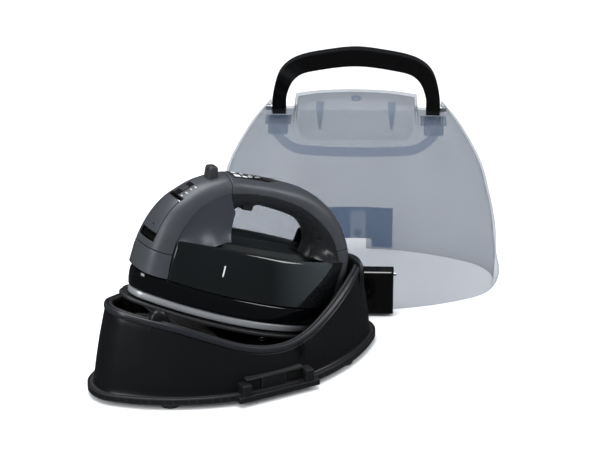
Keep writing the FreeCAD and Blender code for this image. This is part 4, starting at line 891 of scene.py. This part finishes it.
def build_handle_shell():
    """Top shell of the handle and the heel's outer shell."""
    s = np.linspace(SEAM + 0.4, HEEL_SPLIT - 0.35, 96)
    shell = spine_piece("handle_top_shell", s, across())
    finish_piece(soften(shell, 0.5), "iron", "grey_satin", "grey_satin", "handle_shell")
    s = np.linspace(HEEL_SPLIT + 0.35, SPINE_AT[-1], 30)
    heel = spine_piece("heel_spine_shell", s, across())
    finish_piece(soften(heel, 0.5), "iron", "grey_satin", "grey_satin")


# Inner line of the grip facing the opening, one (x, z) per spine station from the seam back.
GRIP_INNER = np.array([(-47.5, 92.5), (-33, 104.0), (0, 104.8), (26, 100.8), (41, 92), (47, 82), (47.4, 74.5),
                       (46, 66)], float)


def grip_rows(s):
    """Edge point, inner point and half width of the grip along the spine."""
    rows = spine_rows(s)
    inner = spline_at(GRIP_INNER, SPINE_AT[8:16], np.asarray(s, float))
    bump = 2.3 * np.exp(-((inner[:, 0] + 27) / 4.5) ** 2)
    inner[:, 1] -= bump
    return rows, inner


def on_grip(s, t):
    """t from 0 at the spine's edge to 1 at the middle of the underside, on one side."""
    rows, inner = grip_rows(s.ravel())
    angle = t.ravel() * math.pi / 2
    go = np.sin(angle) ** (2 / 2.3)
    out = np.cos(angle) ** (2 / 2.3)
    return np.stack([rows[:, 2] + (inner[:, 0] - rows[:, 2]) * go, rows[:, 4] * out,
                     rows[:, 3] + (inner[:, 1] - rows[:, 3]) * go], axis=1).reshape(*s.shape, 3)


def build_grip():
    """Grip under the spine: a satin collar at the edge and a black soft insert round the opening."""
    s = np.linspace(SEAM + 0.3, SPINE_AT[15] - 1, 110)
    # Both halves as one sheet across: near edge, middle, far edge.
    t = np.linspace(0, 1, 22)
    ss, tt = np.meshgrid(s, t, indexing="ij")
    half = on_grip(ss, tt)
    mirror = half[:, ::-1].copy()
    half[:, :, 1] *= -1
    full = np.concatenate([half, mirror[:, 1:]], axis=1)
    split = 9
    rows = spine_rows(s)
    core = np.stack([(rows[:, 0] + rows[:, 2]) / 2, np.zeros(len(s)), (rows[:, 1] + rows[:, 3]) / 2 - 3], axis=1)
    for name, part, material, stands_for in (
            ("grip_collar_near", full[:, :split + 1], "grip_satin", []),
            ("grip_insert", full[:, split:-split], "grip_black", ["grip_lower"]),
            ("grip_collar_far", full[:, -split - 1:], "grip_satin", [])):
        direction = core[:, None, :] - part
        direction /= np.linalg.norm(direction, axis=-1, keepdims=True)
        outer = part + (direction * 0.35 if name == "grip_insert" else 0)
        piece = closed_sheet(name, outer, part + direction * 2.4, iron_to_base)
        finish_piece(soften(piece, 0.35), "iron", "grip_black", material, *stands_for)


def ridge_z(x):
    """Height of the tank's ridge along the iron."""
    return height_along(RIDGE, x)


def ridge_y(x):
    """Half width of the body at the ridge."""
    return side_of(x, 67.0)


def build_side_panels():
    """Cheeks of the front leg, flaring out at the foot to meet the tank's ridge."""
    for side, name in ((-1, "near"), (1, "far")):
        edge = spine_rows(np.linspace(SPINE_AT[2] + 0.6, SEAM - 0.4, 46))
        # Past the spine's seam the cheek's upper corner runs down along the seam line.
        seam_x = np.linspace(edge[-1, 2], -47.5, 9)[1:]
        seam_z = edge[-1, 3] - 17.0 * np.linspace(0, 1, 9)[1:] ** 0.8
        x = np.concatenate([edge[:, 2], seam_x])
        top = np.concatenate([edge[:, 3], seam_z])
        w = np.concatenate([edge[:, 4], np.full(8, edge[-1, 4]) + np.linspace(0, 0.6, 8)])
        keep = np.concatenate([[True], np.diff(x) > 0.02])
        x, top, w = x[keep], top[keep], w[keep]
        low = ridge_z(x) - 0.3 - 1.5 * smooth(x, -80, -62) + 5.5 * smooth(x, -66, -48)
        reach = ridge_y(x) - 0.6
        foot = w + (reach - w) * (1 - smooth(x, -92, -50) * 0.62)
        v = np.linspace(0, 1, 32)[None, :]
        grid = np.zeros((len(x), 32, 3))
        flare = (1 - v) ** 3.4
        belly = 1.2 * np.sin(math.pi * v) * smooth(top - low, 6, 40)[:, None]
        grid[:, :, 0] = x[:, None]
        grid[:, :, 1] = side * (w[:, None] + (foot - w)[:, None] * flare + belly)
        grid[:, :, 2] = low[:, None] + (top - low)[:, None] * v
        panel = slab(f"side_panel_{name}", grid, (0, -side * 2.2, 0))
        finish_piece(soften(panel, 0.4), "cassette", "panel_blue_grey", "panel_blue_grey",
                     *(["side_panels"] if side < 0 else []))


def build_front_post():
    """Rear face of the front leg, rounding into the opening."""
    z = np.linspace(66, 94, 24)
    t = np.linspace(-1, 1, 31)
    grid = np.zeros((len(z), len(t), 3))
    for i, level in enumerate(z):
        w = 19.2 + 0.5 * math.sin(math.pi * (94 - level) / 28) + 3.5 * (1 - smooth(level, 66, 74))
        front = -53.5 + 2.0 * smooth(level, 80, 94)
        nose = -46.8 + 1.2 * (1 - smooth(level, 66, 76)) + 0.6 * smooth(level, 86, 94)
        angle = (1 - np.abs(t)) * math.pi / 2
        grid[i, :, 0] = front + (nose - front) * np.sin(angle) ** 0.8
        grid[i, :, 1] = np.sign(t) * w * np.cos(angle) ** 0.8
        grid[i, :, 2] = level
    post = slab("front_post_face", grid, (-2.0, 0, 0))
    finish_piece(soften(post, 0.3), "iron", "grip_black", "grip_black")


TANK_LOW = 25.9


def tank_front(z):
    """Front edge of the tank, along the spine's side edge."""
    return np.interp(z, (26, 49, 62.5), (-99.0, -101.0, -100.6))


def tank_rear(z):
    """Slanting rear edge of the tank."""
    return 31.0 + 38.5 * smooth(z, 12, 86) / smooth(71.3, 12, 86)


def build_tank():
    """Smoky tank walls with a rolled ridge, closed below and behind."""
    side_count = 80
    u = np.linspace(0, 1, side_count)
    rings = []
    for share, inset, drop in ((0.0, 0.9, 0), (0.006, 0.25, 0), (0.03, 0, 0), (0.2, 0, 0), (0.4, 0, 0), (0.6, 0, 0),
                               (0.8, 0, 0), (0.93, 0, 0), (0.965, 0.1, 0), (0.988, 0.5, 0), (1.0, 1.2, 0),
                               (1.0, 1.8, 0.3), (1.0, 2.4, 1.2), (1.0, 2.8, 3.5), (1.0, 3.0, 7.5)):
        x = np.full(side_count, -60.0)
        for _ in range(12):
            z = TANK_LOW + (ridge_z(x) - TANK_LOW) * share
            x = tank_front(z) + inset * 0.3 + (tank_rear(z) - inset * 0.3 - tank_front(z)) * u
        z = z - drop
        y = side_of(x, np.minimum(z + drop, 70)) + 0.35 * math.sin(math.pi * share) - inset
        near = np.stack([x, -y, z], axis=1)
        far = np.stack([x[::-1], y[::-1], z[::-1]], axis=1)
        rings.append(np.concatenate([near, far]))
    rings = np.array(rings)
    count = rings.shape[1]
    faces = grid_faces(len(rings), count, close_columns=True)
    last = (len(rings) - 1) * count
    for k in range(side_count - 1):
        faces.append((k, k + 1, count - 2 - k, count - 1 - k))
        faces.append((last + k, last + count - 1 - k, last + count - 2 - k, last + k + 1))
    tank = new_object("tank_wall", rings.reshape(-1, 3), faces, iron_to_base)
    soften(tank, 0.3, 2, 60)
    finish_piece(tank, "cassette", "tank_smoke", "tank_body", "water_tank")


def build_tank_deck():
    """Cover inside the ridge: sunken margins and the raised walkway under the opening."""
    xs = np.linspace(-98, 67, 130)
    vs = np.linspace(-1, 1, 61)
    grid = np.zeros((len(xs), len(vs), 3))
    for i, x in enumerate(xs):
        edge = float(ridge_z(x))
        reach = float(ridge_y(x)) - 2.6
        y = vs * reach
        along = smooth(x, -62, -44) * (1 - smooth(x, 34, 50))
        rise = 1 - smooth(np.abs(y), 12 + 2 * along, 21)
        z = edge - 7.5 + 7.2 * rise * (0.6 + 0.4 * along)
        z = np.maximum(z, edge - 7.5 + 6.0 * smooth(np.abs(y), reach - 4, reach))
        grid[i, :, 0], grid[i, :, 1], grid[i, :, 2] = x, y, z
    deck = slab("tank_deck", grid, (0, 0, -1.8))
    finish_piece(deck, "cassette", "black_matte", "deck_gloss", "tank_cover")


def build_rear_foot():
    """Rear leg's foot flaring out over the heel to the end of the tank's ridge."""
    for side, name in ((-1, "near"), (1, "far")):
        xs = np.linspace(47.5, 85.5, 48)
        v = np.linspace(0, 1, 28)
        grid = np.zeros((len(xs), len(v), 3))
        for i, x in enumerate(xs):
            top = np.interp(x, (38, 50, 62, 72, 80, 86), (80, 88, 90, 84, 72, 50))
            low = min(float(ridge_z(x)) - 0.2, top - 1.0)
            reach = float(side_of(x, 67.0)) - 0.3
            foot = 15 + (reach - 15) * smooth(x, 40, 66)
            w = np.interp(x, (38, 50, 70, 86), (13, 18.0, 19.3, 20.2))
            flare = (1 - v) ** 3.2
            grid[i, :, 0] = x
            grid[i, :, 1] = side * (w + (foot - w) * flare)
            grid[i, :, 2] = low + (top - low) * v
        foot = slab(f"rear_foot_{name}", grid, (0, -side * 2.0, 0))
        finish_piece(soften(foot, 0.3), "iron", "grip_black", "grip_satin")


def build_heel():
    """Black heel cover behind the slanting end of the tank."""
    for side, name in ((-1, "near"), (1, "far")):
        zs = np.linspace(25.9, 70.8, 34)
        u = np.linspace(0, 1, 40)
        grid = np.zeros((len(zs), len(u), 3))
        for i, z in enumerate(zs):
            start = tank_rear(z) + 0.4
            x = start + (86.0 - start) * u
            grid[i, :, 0] = x
            grid[i, :, 1] = side * (side_of(x, min(z, 70)) + 0.1)
            grid[i, :, 2] = z
        heel = slab(f"heel_cheek_{name}", grid, (0, -side * 2.4, 0))
        finish_piece(soften(heel, 0.4), "iron", "black_matte", "heel_black", *(["heel_cover"] if side < 0 else []))


def spine_s(x, z):
    """Distance along the spine of the outer point nearest a place in the side view."""
    fine = np.linspace(0, SPINE_AT[-1], 1500)
    rows = spine_rows(fine)
    return float(fine[np.argmin((rows[:, 0] - x) ** 2 + (rows[:, 1] - z) ** 2)])


def patch(name, s_low, s_high, y_low, y_high, height, depth=1.0, taper=None, counts=(24, 14)):
    """Raised or sunk tile on the spine, given along it and across it in millimetres."""
    s = np.linspace(s_low, s_high, counts[0])
    points = np.zeros((counts[0], counts[1], 2))
    for i, where in enumerate(s):
        grow = taper((where - s_low) / (s_high - s_low)) if taper else 1.0
        middle, half = (y_low + y_high) / 2, (y_high - y_low) / 2 * grow
        ys = np.linspace(middle - half, middle + half, counts[1])
        w = spine_rows(np.array([where]))[0, 4]
        share = np.clip(np.abs(ys) / w, 0, 1)
        points[i, :, 0] = where
        points[i, :, 1] = np.sign(ys) * np.arcsin(share ** (POWER / 2)) * 2 / math.pi
    outer = on_spine(points[:, :, 0], points[:, :, 1], height)
    inner = on_spine(points[:, :, 0], points[:, :, 1], height - depth)
    return closed_sheet(name, outer, inner, iron_to_base)


KNOB_FOOT, KNOB_TILT = (-72.0, 0.0, 117.8), math.radians(14)


def build_knob():
    """Steam knob: a tapered finger block on a round collar."""
    lean = (-math.sin(KNOB_TILT), 0, math.cos(KNOB_TILT))
    seat = frame_at(KNOB_FOOT, lean)
    collar = revolved("knob_collar", [(0.01, -1.5), (6.4, -1.5), (6.4, 0.9), (6.0, 1.5), (5.2, 1.7), (0.01, 1.7)],
                      iron_to_base, seat)
    finish_piece(soften(collar, 0.2), "knob", "handle_gloss", "grip_black", "steam_knob")
    rows = []
    for z, half_x, half_y in ((1.2, 5.6, 6.4), (2.0, 5.4, 6.3), (7.0, 5.0, 6.1), (13.0, 4.6, 5.9), (14.7, 4.3, 5.6),
                              (15.5, 3.6, 4.9), (15.8, 2.0, 3.0), (15.85, 0.05, 0.05)):
        angles = np.linspace(0, 2 * math.pi, 48, endpoint=False)
        c, n = np.cos(angles), np.sin(angles)
        rows.append(np.stack([half_x * np.sign(c) * np.abs(c) ** 0.35, half_y * np.sign(n) * np.abs(n) ** 0.35,
                              np.full(48, z)], axis=1))
    block = sheet("knob_block", moved(np.array(rows), seat), iron_to_base)
    cap_ends(block)
    finish_piece(soften(block, 0.15), "knob", "handle_gloss", "knob_gloss")
    fin = rounded_block("knob_ridge", (-5.7, -0.9, 3.0), (-4.3, 0.9, 14.2), 0.4, iron_to_base, 2, seat)
    finish_piece(fin, "knob", "handle_gloss", "knob_gloss")


def build_spine_details():
    """Selector, its track and marks, display panel, temperature button and trigger."""
    middle = spine_s(-96.5, 106.8)
    track = patch("selector_track", middle - 9.5, middle + 9.5, -5.2, 5.2, 0.12, 1.2)
    finish_piece(soften(track, 0.2), "cassette", "grey_satin", "display")
    key = patch("selector_key", middle - 3.6, middle + 3.6, -4.4, 4.4, 1.5, 2.0)
    finish_piece(soften(key, 0.6, 3), "selector", "handle_gloss", "knob_gloss", "steam_selector")
    for k, (along, wide) in enumerate(((-8.0, 2.4), (-3.0, 3.4), (2.5, 2.0), (7.0, 3.0))):
        mark = patch(f"selector_mark_{k}", middle + along, middle + along + 1.2, 7.2, 7.2 + wide, 0.04, 0.3,
                     counts=(4, 5))
        finish_piece(mark, "cassette", "grey_satin", "mark")
    front, rear = spine_s(-55, 129), spine_s(-3, 131.4)

    def arrow(share):
        return 1.0 if share < 0.72 else max(1 - (share - 0.72) / 0.28, 0.02) ** 0.8

    panel = patch("display_window", front, rear, -9.5, 9.5, 0.22, 1.0, arrow, (60, 18))
    finish_piece(soften(panel, 0.2), "iron", "display", "display", "display_panel")
    for k, (along, length, low, high) in enumerate(((2, 7, 2.5, 7.5), (3, 5, -6.5, -1.5), (11, 5, 3.5, 7.0),
                                                    (12, 3, -5.0, -0.5), (18, 2, 1.5, 6.0), (21.5, 1.4, -4, 4),
                                                    (26, 2.2, 1.0, 3.6), (30.5, 1.2, -2.5, 2.5))):
        mark = patch(f"display_mark_{k}", front + along, front + along + length, low, high, 0.3, 0.3,
                     counts=(6, 6))
        finish_piece(mark, "iron", "display", "mark_bright" if k < 3 else "mark")
    start = spine_s(-14, 131.3)
    button = patch("temp_button_cap", start + 1, start + 9, -3.6, 3.6, 0.75, 1.4)
    finish_piece(soften(button, 0.4, 3), "temp_key", "grip_black", "grip_black", "temp_button")
    trigger = rounded_block("steam_trigger_key", (-34, -5.8, 98.9), (-21.5, 5.8, 107.2), 2.8, iron_to_base, 5)
    finish_piece(trigger, "trigger", "grip_black", "grip_black", "steam_trigger")


def build_level_line():
    """Short pale fill line on the tank wall."""
    rows = []
    for share in np.linspace(0, 1, 8):
        x, z = -56.0 + 0.2 * share, 53.0 - 10.0 * share
        rows.append([(x + off, -float(side_of(x + off, z)) - 0.45, z) for off in (-0.55, 0.55)])
    line = slab("level_line", np.array(rows), (0, 0.5, 0))
    finish_piece(line, "cassette", "pale_plate", "mark_bright")


build_sole()
build_skirt()
build_nose()
build_handle_shell()
build_grip()
build_side_panels()
build_front_post()
build_tank()
build_tank_deck()
build_rear_foot()
build_heel()
build_knob()
build_spine_details()
build_level_line()


# ---------------------------------------------------------------- carrying case

CASE_RINGS = np.array([(0, 150, 84, 58), (27, 151, 84, 58), (52, 149, 82.5, 57), (80, 145, 79, 55),
                       (105, 139, 73.5, 52), (129, 132, 66, 47), (148, 123, 58, 42), (167, 112, 47, 36),
                       (184, 100, 35, 27), (196, 90, 24, 20)], float)
BLOCK_SIDE = np.array([(38, 150), (37.6, 162), (36.9, 172), (33, 184), (27, 194.5), (20, 200), (10, 202.8),
                       (0, 203.4)], float)


def on_case(x, z, lift=0.0):
    """Y of the dome's wall, on the positive side, at a distance x from the middle and a height."""
    a, b, r = (np.interp(z, CASE_RINGS[:, 0], CASE_RINGS[:, k]) for k in (1, 2, 3))
    return float(oval_half_width(x, a, b, r)) + lift


def strip(name, path, widths, side, lift=-2.9, depth=0.8, counts=7):
    """Band lying on the inside of the dome's wall: path of (x, z) with a half width each."""
    path = np.asarray(path, float)
    along = np.gradient(path, axis=0)
    along /= np.linalg.norm(along, axis=1, keepdims=True)
    across_path = np.column_stack([-along[:, 1], along[:, 0]])
    grid = np.zeros((len(path), counts, 3))
    for k, share in enumerate(np.linspace(-1, 1, counts)):
        flat = path + across_path * (np.asarray(widths)[:, None] * share)
        grid[:, k, 0], grid[:, k, 2] = flat[:, 0], flat[:, 1]
        grid[:, k, 1] = [side * on_case(x, z, lift) for x, z in flat]
    return slab(name, grid, (0, -side * depth, 0), case_to_base)


def block_y(z):
    """Y of the raised block's flank at a height."""
    return float(np.interp(z, BLOCK_SIDE[:, 1], BLOCK_SIDE[:, 0]))


def build_case_details():
    """Linings inside the clear shell: pocket under the block, U band, ribs and round mark."""
    xs, zs = np.linspace(-58.5, 58.5, 48), np.linspace(0, 1, 30)
    grid = np.zeros((len(xs), len(zs), 3))
    for i, x in enumerate(xs):
        corner = 12 * (1 - math.sqrt(max(1 - (max(abs(x) - 46.5, 0) / 12.0) ** 2, 0)))
        for j, share in enumerate(zs):
            z = 167 + corner + (195 - 167 - corner) * share
            grid[i, j] = (x, 3.4 - block_y(z), z)
    lining = slab("pocket_lining", grid, (0, 0.8, 0), case_to_base)
    finish_piece(soften(lining, 0.2), "case", "case_clear", "case_lining")
    share = np.linspace(0, 1, 60)
    x = -84 + 168 * share
    z = 159.0 + 17.0 * np.clip((np.abs(x) - 50) / 34, 0, 1) ** 2.4
    band = strip("u_band", np.column_stack([x, z]), np.full(60, 4.2), -1)
    finish_piece(soften(band, 0.2), "case", "case_blue", "case_band")
    for x_mid, name in ((-36.5, "left"), (36.5, "right")):
        rows = []
        for share in np.linspace(0, 1, 24):
            y, z = (float(np.interp(share, np.linspace(0, 1, 5), v)) for v in
                    ((-34.5, -31.0, -25.6, -18.0, -9.0), (180, 187, 194.0, 198.2, 200.6)))
            half = 1.0 + 2.9 * min(share * 1.6, 1)
            rows.append([(x_mid + off * half, y + 2.0, z - 1.6) for off in np.linspace(-1, 1, 7)])
        rib = slab(f"block_rib_{name}", np.array(rows), (0, 1.6, -1.2), case_to_base)
        finish_piece(soften(rib, 0.2), "case", "case_blue", "case_band")
    tilt = frame_at((0, -8.0, 203.0), (0, -0.22, 0.97))
    profile = [(2.6, -0.6), (4.9, -0.6), (5.2, -0.2), (5.2, 0.5), (4.8, 0.8), (4.3, 0.8), (4.0, 0.5), (3.6, 0.2),
               (2.2, 0.2), (1.9, 0.6), (1.4, 0.7), (0.01, 0.7), (0.01, -0.6)]
    mark = revolved("round_mark", profile, case_to_base, tilt, 40)
    finish_piece(mark, "case", "case_clear", "case_band")


def build_hook_plate():
    """Deep blue plate on the far wall: dark sides, paler middle, a top band and a ringed boss."""
    middle = 3.0
    parts = (("left", -38, -15, 3, 46, "case_hook"), ("right", 15, 38, 3, 46, "case_hook"),
             ("centre", -8.5, 8.5, 13, 46, "case_band"), ("inner_left", -15, -8.5, 13, 46, "case_hook"),
             ("inner_right", 8.5, 15, 13, 46, "case_hook"), ("top", -38, 38, 46, 50, "case_hook"))
    for name, low, high, foot, head, look in parts:
        xs = np.linspace(middle + low, middle + high, 14)
        half = (head - foot) / 2 - 0.05
        path = np.column_stack([xs, np.full(14, (head + foot) / 2)])
        plate = strip(f"far_hook_{name}", path, np.full(14, half), 1, depth=1.6)
        finish_piece(soften(plate, 0.2), "case", "case_blue", look, *(["far_hook"] if name == "left" else []))
    seat = frame_at((middle, on_case(middle, 20) - 4.6, 19.5), (0, -1, 0))
    boss = revolved("far_hook_boss", [(0.01, -1.2), (4.2, -1.2), (4.2, 0.6), (3.8, 1.0), (3.2, 0.6), (2.6, -0.2),
                                      (1.6, -0.2), (1.2, 0.8), (0.01, 0.9)], case_to_base, seat, 36)
    finish_piece(boss, "case", "case_blue", "case_band")


def build_sockets():
    """Brackets under the handle's legs, each a small box with a lip above it."""
    for side, name in ((-1, "left"), (1, "right")):
        low, high = sorted((side * 70.2, side * 90.4))
        box = rounded_block(f"handle_socket_{name}", (low, -8.6, 163.4), (high, 8.6, 178.6), 1.2,
                            case_to_base)
        finish_piece(box, "case", "case_blue", "case_blue", *(["handle_sockets"] if side < 0 else []))
        low, high = sorted((side * 66.6, side * 93.5))
        lip = rounded_block(f"handle_socket_lip_{name}", (low, -10.5, 175.0), (high, 10.5, 178.8), 0.8,
                            case_to_base)
        finish_piece(lip, "case", "case_blue", "case_band")


def build_latch_face():
    """Gloss block of the latch with a lip along its top and a dished oval finger hold."""
    half, low, high = 40.5, 1.8, 49.5
    xs = np.linspace(-half, half, 76)
    zs = np.linspace(low, high, 52)
    grid = np.zeros((len(xs), len(zs), 3))
    for i, x in enumerate(xs):
        for j, z in enumerate(zs):
            edge_x, edge_z = half - abs(x), min(z - low, high - z)
            edge = min(edge_x, edge_z)
            round_off = 3.2 * (1 - math.sqrt(max(1 - (1 - min(edge / 3.2, 1)) ** 2, 0)))
            lip = 0.9 * float(smooth(z, 43.2, 44.6))
            inside = math.hypot(x / 11.5, (z - 23) / 9.5)
            dish = 5.0 * (1 - float(smooth(inside, 0.62, 1.0)))
            grid[i, j] = (x, -(99.2 + lip - round_off - dish), z)
    inner = grid.copy()
    inner[:, :, 1] = -85.3
    face = closed_sheet("case_latch_block", grid, inner, case_to_base)
    finish_piece(soften(face, 0.2), "latch", "handle_gloss", "handle_gloss", "case_latch")
    pocket = rounded_block("latch_pocket_wall", (-38.5, -81.0, 4.0), (38.5, -79.6, 47.0), 0.5, case_to_base)
    finish_piece(pocket, "case", "case_blue", "case_lining", "latch_housing")


build_case_details()
build_hook_plate()
build_sockets()
build_latch_face()


# ---------------------------------------------------------------- finish of the CAD parts that stay

NODE_LOOK = {
    "base_floor": "black_matte", "base_screws": "steel_small", "rubber_feet": "rubber",
    "tray_springs": "steel_small", "terminal_block": "black_matte", "reel_shaft": "steel_small",
    "cord_reel": "black_matte", "wound_cord": "cord", "spring_drum": "steel_small",
    "rewind_button": "base_black", "mains_plug": "cord", "cord_tail": "cord", "contact_pins": "brass",
    "heater_casting": "aluminium", "heating_element": "steel_small", "steam_chamber_cover": "aluminium",
    "thermostat": "steel_small", "thermal_fuse": "brass", "chassis_plate": "black_matte",
    "receiver_contacts": "brass", "control_board": "board_green", "pump_cylinder": "black_matte",
    "pump_piston": "black_matte", "casting_screws": "steel_small", "tank_seal": "rubber",
    "valve_rod": "steel_small", "case_shell": "case_clear", "pivot_pins": "steel_small",
    "latch_pin": "steel_small", "latch_spring": "steel_small", "carry_handle": "handle_gloss",
}


def dress_cad_parts():
    """Material and softened edges for every CAD node that stays in view."""
    for name, look in NODE_LOOK.items():
        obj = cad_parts[name]
        obj.data.materials.clear()
        obj.data.materials.append(MAT[look])
        soften(obj, 0.3, 2, 35)


dress_cad_parts()
